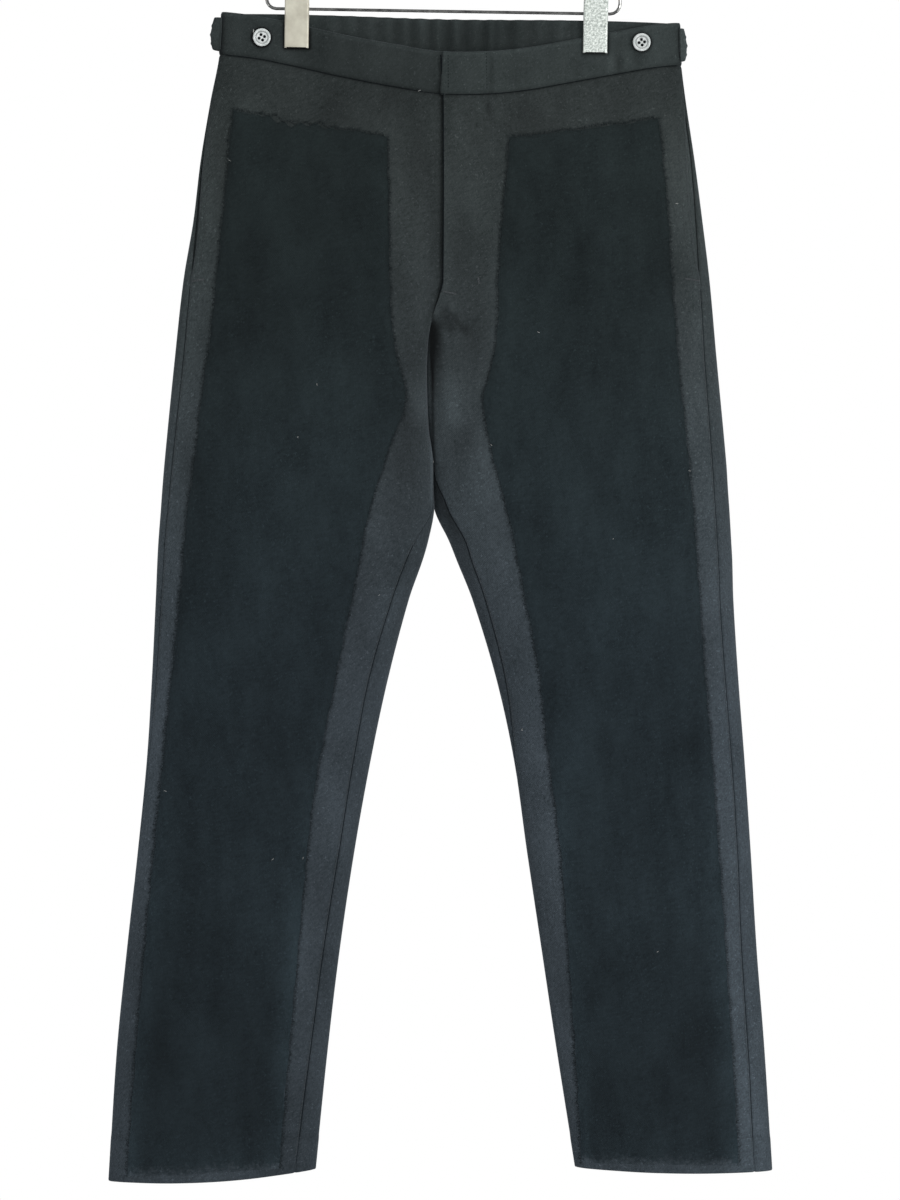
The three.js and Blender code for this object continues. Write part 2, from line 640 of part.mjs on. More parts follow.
// The facing strip that shows in the mouth of a side pocket.
function pocketFacing(name) {
  const leg = LEGS[name];
  const { top, bottom, under, sunk, cloth: thick } = POCKET_FACING;
  return wall(
    spread(top, bottom, 9).map((drop) => {
      const seam = outseamAngle(leg, drop);
      const reach = read(leg.rows, "drop", "outseam", drop) + under;
      const angles = spread(Math.max(seam, 0.02), edgeAngle(leg, reach, drop), 7);
      return angles.map((angle) => onFront(leg, angle, drop, -sunk, -sunk - thick));
    }),
  );
}

// The shield behind the fly.
function flyShield() {
  const { from, to, top, bottom, sunk, cloth: thick } = FLY_SHIELD;
  return wall(
    spread(top, bottom, 8).map((drop) =>
      spread(from, to, 9).map((x) => {
        const leg = x < centreX(drop) ? LEGS.right : LEGS.left;
        return onFront(leg, angleOfX(leg, x, drop), drop, -sunk, -sunk - thick);
      }),
    ),
  );
}

// An adjuster strap: out from the side fold in a slack loop, and on round to the back.
function strap(name) {
  const leg = LEGS[name];
  const { backEnd, bulge } = STRAPS[name];
  const { front, loopTo, flatFrom, slackTo, level } = STRAP_TURN;
  const backAngle = -angleOfX(leg, backEnd, level);
  const places = [...spread(front, loopTo, 18), ...spread(flatFrom, backAngle, 7)];
  return wall(
    [-0.5, -0.17, 0.17, 0.5].map((height) =>
      places.map((angle) => {
        const x = facePoint(leg, angle, level).x;
        const drop = bandFoot(angle, x) - BAND_HEIGHT / 2 + STRAP.height * height;
        const looped = smooth(1 - angle / front) * smooth(1 - Math.abs(angle) / slackTo);
        const slack = bulge * looped * (1 - 0.5 * height * height);
        const lift = STRAP.lift + slack;
        return {
          point: facePoint(leg, angle, drop),
          normal: faceNormal(leg, angle, drop, -1.5, 1.5),
          out: lift + STRAP.cloth,
          into: lift,
        };
      }),
    ),
  );
}

// A manifold-3d solid from a three.js geometry, and back.
function solid(geometry) {
  const bare = (geometry.index ? geometry.toNonIndexed() : geometry).clone();
  for (const attribute of ["normal", "uv"]) bare.deleteAttribute(attribute);
  const merged = mergeVertices(bare, 1e-4);
  return new wasm.Manifold(
    new wasm.Mesh({
      numProp: 3,
      vertProperties: merged.attributes.position.array,
      triVerts: new Uint32Array(merged.index.array),
    }),
  );
}

function geometryOf(made) {
  const { vertProperties, triVerts } = made.getMesh();
  const geometry = new THREE.BufferGeometry();
  geometry.setAttribute("position", new THREE.Float32BufferAttribute(vertProperties, 3));
  geometry.setIndex([...triVerts]);
  return geometry;
}

// A four-hole button, turned about its axis, with its back at z = 0.
function button(turn) {
  const { radius, rim, thick, dish, holeRadius, holeCircle } = BUTTON;
  const profile = [
    [0, 0],
    [radius - 1.2, 0],
    [radius, 0.9],
    [radius, thick - 0.7],
    [radius - 0.5, thick - 0.1],
    [radius - rim, thick],
    [radius - rim - 1, thick - dish],
    [0, thick - dish],
  ].map(([x, y]) => new THREE.Vector2(x, y));
  let made = solid(new THREE.LatheGeometry(profile, 28).rotateX(Math.PI / 2));
  for (let k = 0; k < 4; k++) {
    const angle = THREE.MathUtils.degToRad(turn + 90 * k);
    const hole = new THREE.CylinderGeometry(holeRadius, holeRadius, 3 * thick, 8).rotateX(Math.PI / 2);
    hole.translate(holeCircle * Math.sin(angle), holeCircle * Math.cos(angle), 0);
    made = made.subtract(solid(hole));
  }
  return geometryOf(made);
}

// A curve through set points, so that a wire's rings fall on each of them.
class Route extends THREE.Curve {
  constructor(points) {
    super();
    this.points = points;
  }
  getPoint(t, target = new THREE.Vector3()) {
    const at = t * (this.points.length - 1);
    const k = Math.min(Math.floor(at), this.points.length - 2);
    return target.lerpVectors(this.points[k], this.points[k + 1], at - k);
  }
  getPointAt(u, target) {
    return this.getPoint(u, target);
  }
  getTangentAt(u, target = new THREE.Vector3()) {
    const last = this.points.length - 1;
    const k = Math.round(u * last);
    const way = (from) => this.points[from + 1].clone().sub(this.points[from]).normalize();
    return target.copy(way(Math.max(0, k - 1)).add(way(Math.min(last - 1, k))).normalize());
  }
}

// A round wire through points.
function wire(points, diameter, sides) {
  const section = new THREE.Shape(
    spread(0, 2 * Math.PI, sides + 1)
      .slice(0, sides)
      .map((angle) => new THREE.Vector2(Math.cos(angle), Math.sin(angle)).multiplyScalar(diameter / 2)),
  );
  return new THREE.ExtrudeGeometry(section, {
    steps: points.length - 1,
    extrudePath: new Route(points),
    bevelEnabled: false,
  });
}

// The points of a path with rounded corners, in the plane y = 0.
function roundedPath(corners) {
  const points = [];
  corners.forEach(({ x, z, radius }, k) => {
    const here = new THREE.Vector3(x, 0, z);
    if (!radius) return points.push(here);
    const toward = (other) => new THREE.Vector3(other.x, 0, other.z).sub(here).normalize();
    const before = toward(corners[k - 1]);
    const after = toward(corners[k + 1]);
    const half = Math.acos(THREE.MathUtils.clamp(before.dot(after), -1, 1)) / 2;
    const cut = radius / Math.tan(half);
    const inward = before.clone().add(after).normalize();
    const centre = here.clone().addScaledVector(inward, radius / Math.sin(half));
    const from = here.clone().addScaledVector(before, cut).sub(centre);
    const to = here.clone().addScaledVector(after, cut).sub(centre);
    const turn = from.angleTo(to);
    for (const t of spread(0, 1, 5)) {
      const arm = from.clone().multiplyScalar(Math.sin((1 - t) * turn));
      arm.addScaledVector(to, Math.sin(t * turn));
      points.push(arm.divideScalar(Math.sin(turn)).add(centre));
    }
  });
  return points;
}

// The hanger's bar, rounded ends, sloping arms, collar and hook, in one wire.
function hangerWire() {
  const { half, corner, z: barZ } = BAR;
  const { z: neckZ, shoulder, shoulderRadius, collarRadius, collarHeight } = NECK;
  const shoulderZ = barZ + shoulder;
  const frame = roundedPath([
    { x: -1.2, z: neckZ },
    { x: -half, z: shoulderZ, radius: shoulderRadius },
    { x: -half, z: barZ, radius: corner },
    { x: half, z: barZ, radius: corner },
    { x: half, z: shoulderZ, radius: shoulderRadius },
    { x: 1.2, z: neckZ },
  ]);
  const bend = spread(HOOK.from, HOOK.to, 15).map((degrees) => {
    const angle = THREE.MathUtils.degToRad(degrees);
    const radius = HOOK.radius + WIRE / 2;
    return new THREE.Vector3(radius * Math.cos(angle), 0, -HOOK.radius + radius * Math.sin(angle));
  });
  const stem = [
    [0, neckZ - 2],
    [0, neckZ + collarHeight],
    [HOOK.sway, HOOK.swayZ],
  ].map(([x, z]) => new THREE.Vector3(x, 0, z));
  const hook = [...stem, ...bend];
  const collar = new THREE.CylinderGeometry(collarRadius, collarRadius, collarHeight, 14);
  collar.rotateX(Math.PI / 2).translate(0, 0, neckZ + 1);
  const [frameWire, hookWire] = [frame, hook].map((points) => solid(wire(points, WIRE, WIRE_SIDES)));
  return geometryOf(frameWire.add(hookWire).add(solid(collar)));
}

// One clip jaw: a plate across the cloth, cranked over the bar to a finger tab, with two ears.
function clipJaw(front, lip) {
  const { plate, face, barY, tabY, tabRise, shoulder, earHole, earReach, earInset } = CLIP;
  const sign = front ? -1 : 1;
  const lipZ = WAIST_DATUM_Z - lip;
  const line = [
    [face, lipZ],
    [face, BAR.z - 14],
    [barY, BAR.z - shoulder],
    [barY, BAR.z + shoulder],
    [tabY, BAR.z + tabRise],
  ];
  const outline = [...line, ...line.map(([y, z]) => [y + plate, z]).reverse()];
  const shape = new THREE.Shape(outline.map(([y, z]) => new THREE.Vector2(sign * y, z)));
  let made = solid(across(shape, CLIP_WIDTH));
  const ear = new THREE.Shape(
    [
      [barY + plate / 2, BAR.z - shoulder],
      [barY + plate / 2, BAR.z + shoulder],
      [1, BAR.z + earReach],
      [-3, BAR.z + 3],
      [-earReach, BAR.z],
      [-3, BAR.z - 3],
      [1, BAR.z - earReach],
    ].map(([y, z]) => new THREE.Vector2(sign * y, z)),
  );
  const inset = front ? 0 : earInset;
  for (const side of [-1, 1]) {
    const piece = solid(across(ear, plate));
    made = made.add(piece.translate([side * (CLIP_WIDTH / 2 - plate / 2 - inset), 0, 0]));
  }
  const hole = new THREE.CylinderGeometry(earHole, earHole, 2 * CLIP_WIDTH, 12).rotateZ(Math.PI / 2);
  hole.translate(0, 0, BAR.z);
  return geometryOf(made.subtract(solid(hole)));
}

// Extrudes a shape drawn in y and z by a width along x, centred on x = 0.
function across(shape, width) {
  const made = new THREE.ExtrudeGeometry(shape, { depth: width, bevelEnabled: false });
  const turned = new THREE.Matrix4().makeBasis(
    new THREE.Vector3(0, 1, 0),
    new THREE.Vector3(0, 0, 1),
    new THREE.Vector3(1, 0, 0),
  );
  return made.applyMatrix4(turned).translate(-width / 2, 0, 0);
}

// The coil spring round the bar, with a leg up each finger tab.
function spring() {
  const { radius, turns, half, rise, stepsPerTurn, wire: thick, sides } = SPRING;
  const steps = Math.round(turns * stepsPerTurn);
  const coil = spread(-0.5, 0.5, steps + 1).map((share) => {
    const angle = Math.PI / 2 + 2 * Math.PI * turns * share;
    return new THREE.Vector3(2 * half * share, radius * Math.cos(angle), BAR.z + radius * Math.sin(angle));
  });
  const { barY, tabY, tabRise, shoulder } = CLIP;
  const tabInside = mix(barY, tabY, (rise - shoulder) / (tabRise - shoulder)) - thick;
  const tip = (x, sign) => new THREE.Vector3(x, sign * tabInside, BAR.z + rise);
  const points = [tip(-half, -1), ...coil, tip(half, 1)];
  return wire(points, thick, sides);
}

// Assembly
const trousers = new THREE.Group();

function add(parent, name, geometry, material) {
  const mesh = new THREE.Mesh(geometry, material);
  mesh.name = name;
  parent.add(mesh);
  return mesh;
}

for (const name of ["right", "left"]) {
  add(trousers, `front_${name}`, legPanel(LEGS[name], false), MATERIALS.cloth);
  add(trousers, `back_${name}`, legPanel(LEGS[name], true), MATERIALS.cloth);
  add(trousers, `overlay_${name}`, overlay(name), MATERIALS.overlay);
  add(trousers, `waistband_front_${name}`, frontBand(LEGS[name]), MATERIALS.band);
  add(trousers, `pocket_facing_${name}`, pocketFacing(name), MATERIALS.cloth);
  add(trousers, `adjuster_strap_${name}`, strap(name), MATERIALS.band);

  const { x, drop, turn } = STRAPS[name].button;
  const leg = LEGS[name];
  const angle = angleOfX(leg, x, drop);
  const normal = faceNormal(leg, angle, drop, 0, Math.PI);
  const lift = BAND_PROUD + BUTTON.gap;
  const mesh = add(trousers, `button_${name}`, button(turn), MATERIALS.button);
  mesh.position.copy(facePoint(leg, angle, drop)).addScaledVector(normal, lift);
  mesh.quaternion.setFromUnitVectors(new THREE.Vector3(0, 0, 1), normal);
}
add(trousers, "waistband_back", backBand(), MATERIALS.band);
add(trousers, "fly_shield", flyShield(), MATERIALS.cloth);

const hanger = new THREE.Group();
hanger.rotation.y = HANGER_TILT;
add(hanger, "hanger_wire", hangerWire(), MATERIALS.wire);
for (const name of ["right", "left"]) {
  const place = CLIP_X[name] - BAR.z * Math.sin(HANGER_TILT);
  const clip = new THREE.Group();
  clip.position.x = place;
  const lip = CLIP_LIP[name] - place * Math.sin(HANGER_TILT);
  add(clip, `clip_${name}_front_jaw`, clipJaw(true, lip), MATERIALS.clip);
  add(clip, `clip_${name}_back_jaw`, clipJaw(false, lip), MATERIALS.clip);
  add(clip, `clip_${name}_spring`, spring(), MATERIALS.wire);
  hanger.add(clip);
}
trousers.add(hanger);

export default trousers;
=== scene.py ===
"""The looks of a pair of double-knee trousers clipped to a wire hanger.

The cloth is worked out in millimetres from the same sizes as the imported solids, as surfaces of two
parameters: the turn round a leg and the drop below the waist. Meshes are then written in metres.
+Z is up, the front faces -Y and the wearer's right leg is at -X. The origin is under the hook.
"""

import math

import bpy
import numpy as np
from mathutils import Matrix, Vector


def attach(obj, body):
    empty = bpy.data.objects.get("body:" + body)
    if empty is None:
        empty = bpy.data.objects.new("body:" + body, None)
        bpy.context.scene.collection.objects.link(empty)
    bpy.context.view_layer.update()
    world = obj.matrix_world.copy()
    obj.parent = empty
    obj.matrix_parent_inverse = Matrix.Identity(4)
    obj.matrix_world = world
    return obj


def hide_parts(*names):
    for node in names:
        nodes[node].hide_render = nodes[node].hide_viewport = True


MM = 0.001

# Sizes of the cloth, in millimetres
WAIST_DATUM_Z = -145
CLOTH = 1.5
HEM_CLOTH = 2.5
HEM_DEPTH = 35
SEAM_GAP = 0.3
BAND_HEIGHT = 37.5
BAND_LEVEL = 40
BAND_SIDE_TURN = 1.15
BAND_PROUD = 0.6
BAND_SUNK = 1.8
FLY_END = 246
FORK = 400
FORK_HALF_GAP = 0.9
FORK_RUN_OUT = 40
HEM_NOMINAL = 1042
HEM_BACK_RISE = 2
TOP_FADE = 150
HEM_FADE = 120
CLIP_X = {"right": -133.7, "left": 135}
CLIP_GRIP = 14
PINCHED_TO = 45
OPEN_FROM = 175
PINCH_DEPTH = 2
SIDE_FOLD_DEPTH = 5
SIDE_FOLD_SHARE = 0.04
SIDE_FOLD_RUN = 34
BOW_FRONT = 16
BOW_BACK = 12
SEAM_PULL = 0.6
FELT_HEM_INSET = 7
SHOULDER = 0.25

# The turns between which a normal is read, and the small steps that it is read over
LOWEST_TURN, HIGHEST_TURN = -1.0, 7.0
TURN_STEP, DROP_STEP = 0.05, 0.5


def table(columns, *rows):
    """A short table as one array for each named column."""
    return dict(zip(columns.split(), np.array(rows, float).T))


# A leg's outline edges at each drop, and how far inside them the side and inner seams lie
LEGS = {
    "right": {
        "name": "right",
        "side": -1,
        "hem": (1046, 1035.5, 5),
        "rows": table(
            "drop outer inner outseam inseam",
            (-6, -201.5, -1.5, 0, 0),
            (36, -204, -1.5, 0, 0),
            (75, -211.5, -1.5, 0.2, 0),
            (129, -220.5, -1.5, 0.6, 0),
            (183, -227, -1.5, 2, 0),
            (237, -236, -1.5, 6.5, 0),
            (309, -244, -12, 8, 0),
            (400, -253, -11.8, 7, 0),
            (428, -255.3, -10.9, 6.8, 0.5),
            (445, -256.5, -10.3, 6.5, 2),
            (471, -258.5, -15.5, 6, 11),
            (489, -259.5, -20.7, 6, 14),
            (525, -261, -33.3, 5, 15),
            (597, -264.5, -52.2, 4, 16.5),
            (669, -269, -67.5, 2, 15),
            (750, -277, -82, 0.5, 13.5),
            (840, -287, -95.4, -1, 14),
            (930, -296, -106.2, -2, 15),
            (1050, -303.5, -118.5, -4, 18),
        ),
    },
    "left": {
        "name": "left",
        "side": 1,
        "hem": (1036.5, 1033.5, 3),
        "rows": table(
            "drop outer inner outseam inseam",
            (-6, 210.5, -1.5, 0.5, 0),
            (36, 211.5, -1.5, 0.5, 0),
            (75, 216, -1.5, 1, 0),
            (129, 224, -1.5, 2, 0),
            (183, 231, -1.5, 5, 0),
            (237, 237.5, -1.5, 8.5, 0),
            (309, 244, -12, 11, 0),
            (400, 252.5, -10, 12.7, 0),
            (428, 254.3, -10.5, 12.9, 8),
            (445, 255.5, -9.7, 13, 12.5),
            (471, 257, 2.7, 12.8, 14.5),
            (489, 258, 9.9, 12.6, 13),
            (525, 259, 24.3, 12.4, 11),
            (597, 263.5, 45.9, 12, 7.5),
            (669, 269, 61.5, 11.8, 1),
            (750, 274.5, 73, 12, -3),
            (840, 280, 86.4, 13.5, -5),
            (930, 287, 99.9, 15, -6),
            (1050, 294.5, 119, 16.5, -6),
        ),
    },
}

# The centre seam above the fork, how far the legs are rounded towards it and how far it is hidden
CENTRE = table(
    "drop x rounding tuck",
    (-6, -1.5, 0, 0),
    (238, -1.5, 0, 0),
    (252, -5.5, 0.06, 0),
    (268, -10.5, 0.2, 0.5),
    (292, -12.5, 0.42, 3),
    (330, -11.8, 0.72, 5),
    (365, -11.5, 0.92, 4),
    (400, -10.9, 1, 0),
)

# Half depths of the hollow legs, and how far each inner edge leans back
DEPTHS = table(
    "drop front back lean",
    (-6, 19, 17, 0),
    (170, 21, 19, 0),
    (260, 23, 23, 1),
    (330, 25, 26, 4),
    (400, 25, 27, 5),
    (460, 24, 25, 4),
    (560, 22, 22, 0),
    (700, 18, 18, 0),
    (860, 16, 16, 0),
    (1050, 15, 15, 0),
)

# The seam under the front waistband
BAND_SEAM = table(
    "x seam",
    (-240, 32),
    (-204, 34),
    (-166, 38.5),
    (-138, 44),
    (-94, 54),
    (-46, 64),
    (-4, 71),
    (40, 70.5),
    (73, 66.5),
    (118, 58),
    (157, 51),
    (196, 45),
    (240, 43),
)
BACK_TOP = {"middle": 1.5, "slope": 0.0208}
SIDE_RUN = 0.8

# The felt panel on each front: its edges at each drop, and the droop of its top edge
FELTS = {
    "right": {
        "top": (84, 109),
        "rows": table(
            "drop outer inner",
            (84, -191, -53.5),
            (147, -196.5, -51.8),
            (237, -205.5, -50.4),
            (283, -210, -48),
            (310, -214, -43),
            (339, -218, -36),
            (354, -220, -37.5),
            (375, -222, -45.5),
            (400, -225, -54.5),
            (450, -232, -70),
            (500, -236, -79.5),
            (555, -241.5, -91),
            (617, -248, -103.5),
            (695, -256, -118),
            (777, -264, -127),
            (855, -271.5, -134),
            (943, -279, -142),
            (1040, -286, -150),
        ),
    },
    "left": {
        "top": (92, 110),
        "rows": table(
            "drop outer inner",
            (92, 191, 59),
            (142, 196, 55),
            (181, 199.5, 51.3),
            (233, 202.5, 47.7),
            (284, 206.5, 46.4),
            (326, 209.5, 38.7),
            (341, 211, 33.5),
            (363, 213.5, 36),
            (387, 216, 40.5),
            (423, 219.5, 49.5),
            (455, 222.5, 58),
            (524, 227.5, 71.7),
            (587, 232, 83.7),
            (652, 237.5, 91),
            (747, 244.5, 103),
            (814, 249.5, 108.5),
            (887, 254, 113.5),
            (969, 259.5, 119),
            (1040, 263, 123),
        ),
    },
}

# How far the pocket's mouth gapes in front of the side seam
POCKETS = {
    "right": table("drop gape", (80, 0), (150, 2), (185, 3), (210, 2.5), (238, 0)),
    "left": table("drop gape", (80, 0), (120, 4), (165, 5.5), (205, 4), (238, 0)),
}
FACING = {"top": 92, "bottom": 242, "under": 16, "sunk": 2.3, "cloth": 1.2}
SHIELD = {"start": -32, "end": 38, "top": 74, "bottom": 250, "sunk": 4.3, "cloth": 1.4}

STRAPS = {
    "right": {"back_end": -150, "bulge": 6.2},
    "left": {"back_end": 150, "bulge": 3.2},
}
STRAP = {"height": 28, "cloth": 1.8, "lift": 1, "front": 0.16, "slack_to": 0.62, "level": 20}
BUTTONS = {
    "right": {"x": -165.6, "drop": 19, "turn": -17},
    "left": {"x": 176.4, "drop": 23.5, "turn": -8},
}
BUTTON = {"radius": 8, "thick": 2.8, "lift": 1.1, "hole": 1.3, "hole_circle": 2.5, "dish": 5.4}

# The button's face: its rounded edge, its raised rim, the dish inside that and the groove about the
# dish, the holes' pits, and the back's edge
BUTTON_FACE = {"edge": 0.9, "rim_at": 6.85, "rim_half": 1.2, "rim": 1.05, "below": 1.1, "dished": 0.25}
# The groove's depth and width, and its painted shade; the holes' pits are painted dark as their shade
GROOVE = {"deep": 0.35, "width": 0.5, "dark": 0.45, "dark_width": 0.45}
PIT = {"deep": 1.3, "in": 0.12, "over": 0.3}
BUTTON_BACK = {"bulge": 0.25, "up": 0.4, "in": 1.2}
BUTTON_THREAD = {"low": -0.3, "below": 1.9, "radius": 0.9}


def smooth(t):
    """An ease from 0 to 1: t squared times three less two t, held outside 0 to 1."""
    t = np.clip(t, 0, 1)
    return t * t * (3 - 2 * t)


def mix(a, b, t):
    """Straight blend from a to b."""
    return a + (b - a) * t


def rise(at, start, over):
    """An ease from 0 to 1 that begins at a start and takes a given length."""
    return smooth((at - start) / over)


def bell(distance, width):
    """A bell curve of a distance."""
    return np.exp(-((distance / width) ** 2))


def mark(distance, size, width):
    """A bell of a given height and half width."""
    return size * bell(distance, width)


def unit(vectors):
    """Vectors of length one."""
    return vectors / np.maximum(np.linalg.norm(vectors, axis=-1, keepdims=True), 1e-12)


def read(rows, column, at, key="drop"):
    """A column at places between its rows: a cubic through them whose slope at each row is that of
    the line joining the rows on either side."""
    keys, values = rows[key], rows[column]
    last = len(keys) - 1
    row = np.arange(last + 1)
    before, after = np.maximum(row - 1, 0), np.minimum(row + 1, last)
    slope = (values[after] - values[before]) / (keys[after] - keys[before])
    at = np.clip(at, keys[0], keys[-1])
    i = np.clip(np.searchsorted(keys, at, side="right") - 1, 0, last - 1)
    span = keys[i + 1] - keys[i]
    t = (at - keys[i]) / span
    eased = mix(values[i], values[i + 1], t * t * (3 - 2 * t))
    return eased + span * (slope[i] * t * (1 - t) ** 2 - slope[i + 1] * t * t * (1 - t))


def outer_x(leg, drop):
    """The leg's outer outline."""
    return read(leg["rows"], "outer", drop)


def centre_x(drop):
    """The centre line, where both legs meet above the fork."""
    return read(CENTRE, "x", drop)


def inner_x(leg, drop):
    """The leg's inner outline below the fork, and the centre line above it."""
    gap = leg["side"] * FORK_HALF_GAP * smooth((drop - FLY_END) / (FORK - FLY_END))
    return np.where(drop >= FORK, read(leg["rows"], "inner", drop), centre_x(drop) + gap)


def angle_at(share):
    """The turn round a section at a share of its width: the cosine runs from 1 to -1 across it."""
    return np.arccos(1 - 2 * np.clip(share, 0, 1))


def angle_of_x(leg, x, drop):
    """The turn at which the front of a leg's section crosses x."""
    outer = outer_x(leg, drop)
    return angle_at((x - outer) / (inner_x(leg, drop) - outer))


def edge_angle(leg, inset, drop):
    """The turn at a distance in from the edge, negative for one that lies behind it."""
    width = np.abs(inner_x(leg, drop) - outer_x(leg, drop))
    return np.sign(inset) * angle_at(np.abs(inset) / width)


def outseam_angle(leg, drop):
    """The turn of the side seam, negative where it lies behind the side fold."""
    return edge_angle(leg, read(leg["rows"], "outseam", drop), drop)


def inseam_angle(leg, drop):
    """The turn of the inner seam, which is the centre line's above the fork."""
    below = math.pi - edge_angle(leg, read(leg["rows"], "inseam", drop), drop)
    return np.where(drop <= FORK, math.pi, below)


def fullness(turn):
    """How far a flattened tube stands out, as a share: a sine, a little fuller at its shoulders."""
    return np.sin(turn) * (1 + SHOULDER - SHOULDER * np.sin(turn) ** 2)


def pinched_depth(x, bow):
    """Half depth at the waist: a raised cosine between the clips, and a shallow fold beyond them."""
    flat = np.abs(np.where(x < 0, CLIP_X["right"], CLIP_X["left"]))
    inside = flat - CLIP_GRIP
    between = PINCH_DEPTH + bow * np.cos(math.pi * x / (2 * inside)) ** 2
    beyond = mix(PINCH_DEPTH, SIDE_FOLD_DEPTH, smooth((np.abs(x) - flat - CLIP_GRIP) / SIDE_FOLD_RUN))
    return np.where(np.abs(x) < inside, between, beyond)


def raw_point(leg, angle, drop):
    """A leg's section as a flattened tube: across it by the cosine of the turn, and out from it by
    the tube's fullness times its half depth, which the clips' pinch replaces near the waist."""
    across = (1 - np.cos(angle)) / 2
    back = np.sin(angle) < 0
    x = mix(outer_x(leg, drop), inner_x(leg, drop), across)
    depth = np.where(back, read(DEPTHS, "back", drop), read(DEPTHS, "front", drop))
    closed = fullness(np.arccos(1 - 2 * across))
    opened = fullness(np.arccos(1 - across))
    fold = np.sqrt(1 - (1 - np.minimum(1, across / SIDE_FOLD_SHARE)) ** 2)
    pinched = pinched_depth(x, np.where(back, BOW_BACK, BOW_FRONT)) * fold
    hung = depth * mix(opened, closed, read(CENTRE, "rounding", drop))
    half = mix(pinched, hung, smooth((drop - PINCHED_TO) / (OPEN_FROM - PINCHED_TO)))
    lean = leg["side"] * read(DEPTHS, "lean", drop) * across**2
    z = np.broadcast_to(WAIST_DATUM_Z - drop, x.shape)
    return np.stack([x, lean + np.where(back, half, -half), z], axis=-1)


def centre_angle(back):
    """The turn of the centre line, a hair to the front's or the back's side of it."""
    return math.pi + np.where(back, 1e-6, -1e-6)


def centre_seam(back, drop):
    """Where the centre seam lies, on the front or on the back."""
    half = raw_point(LEGS["left"], centre_angle(back), drop)
    x = centre_x(drop) - np.where(back, 0, read(CENTRE, "tuck", drop))
    return np.stack([x, half[..., 1] - read(DEPTHS, "lean", drop), half[..., 2]], axis=-1)


def face_point(leg, angle, drop):
    """The outer face: the raw section, with its inner edge drawn over to the seam."""
    angle, drop = np.broadcast_arrays(np.asarray(angle, float), np.asarray(drop, float))
    point = raw_point(leg, angle, drop)
    seam = inseam_angle(leg, drop)
    near = 1 - smooth(np.abs(angle - seam) / SEAM_PULL)
    back = (angle > seam) | (np.sin(angle) < 0)
    above = drop <= FORK
    own = raw_point(leg, np.where(above, centre_angle(back), seam), drop)
    fork = np.broadcast_to(centre_seam(np.array(False), np.array(float(FORK))), own.shape).copy()
    fork[..., 2] = own[..., 2]
    run_out = (1 - smooth((drop - FORK) / FORK_RUN_OUT))[..., None]
    target = np.where(above[..., None], centre_seam(back, drop), mix(own, fork, run_out))
    return point + (target - own) * near[..., None]


def face_normal(leg, angle, drop, low=LOWEST_TURN, high=HIGHEST_TURN):
    """Outward normal: the cross product of small differences round the leg and down it, kept
    between two turns."""
    before = face_point(leg, np.maximum(low, angle - TURN_STEP), drop)
    after = face_point(leg, np.minimum(high, angle + TURN_STEP), drop)
    above = face_point(leg, angle, drop - DROP_STEP)
    below = face_point(leg, angle, drop + DROP_STEP)
    return unit(np.cross(after - before, below - above)) * leg["side"]


def front_normal(leg, angle, drop):
    """The outward normal of the front, which ends at half a turn."""
    return face_normal(leg, angle, drop, high=math.pi)


def panel_normal(leg, back, angle, drop):
    """The outward normal of one panel, which ends at the centre line above the fork."""
    above = drop < FORK
    low = np.where(above & back, centre_angle(True), LOWEST_TURN)
    high = np.where(above & (not back), centre_angle(False), HIGHEST_TURN)
    return face_normal(leg, angle, drop, low, high)


def front_seam(x):
    """The drop of the seam under the front waistband."""
    return read(BAND_SEAM, "seam", x, key="x")


def back_top(x):
    """The drop of the back waistband's top edge, a straight slope."""
    return BACK_TOP["middle"] + BACK_TOP["slope"] * x


def band_foot(angle, x):
    """The seam under the waistband: the front's line, run into the back's level at the side."""
    from_side = np.where(angle < 0, -angle, 2 * math.pi - angle)
    behind = mix(front_seam(x), back_top(x) + BAND_HEIGHT, smooth(from_side / SIDE_RUN))
    return np.where(np.sin(angle) >= 0, front_seam(x), behind)


def hem_drop(leg, angle):
    """The hem's drop: a straight slope with a sine's sag, a little higher at the back."""
    outer, inner, sag = leg["hem"]
    across = (1 - np.cos(angle)) / 2
    bulge = np.sin(math.pi * across)
    front = mix(outer, inner, across) + sag * bulge
    return np.where(np.sin(angle) < 0, front - HEM_BACK_RISE * bulge, front)


def bent_level(level, first, top, hem):
    """Moves levels so that the first follows the top edge and the last the hem."""
    at_top = (top - first) * (1 - smooth((level - first) / TOP_FADE))
    at_hem = (hem - HEM_NOMINAL) * smooth((level - HEM_NOMINAL + HEM_FADE) / HEM_FADE)
    return level + at_top + at_hem


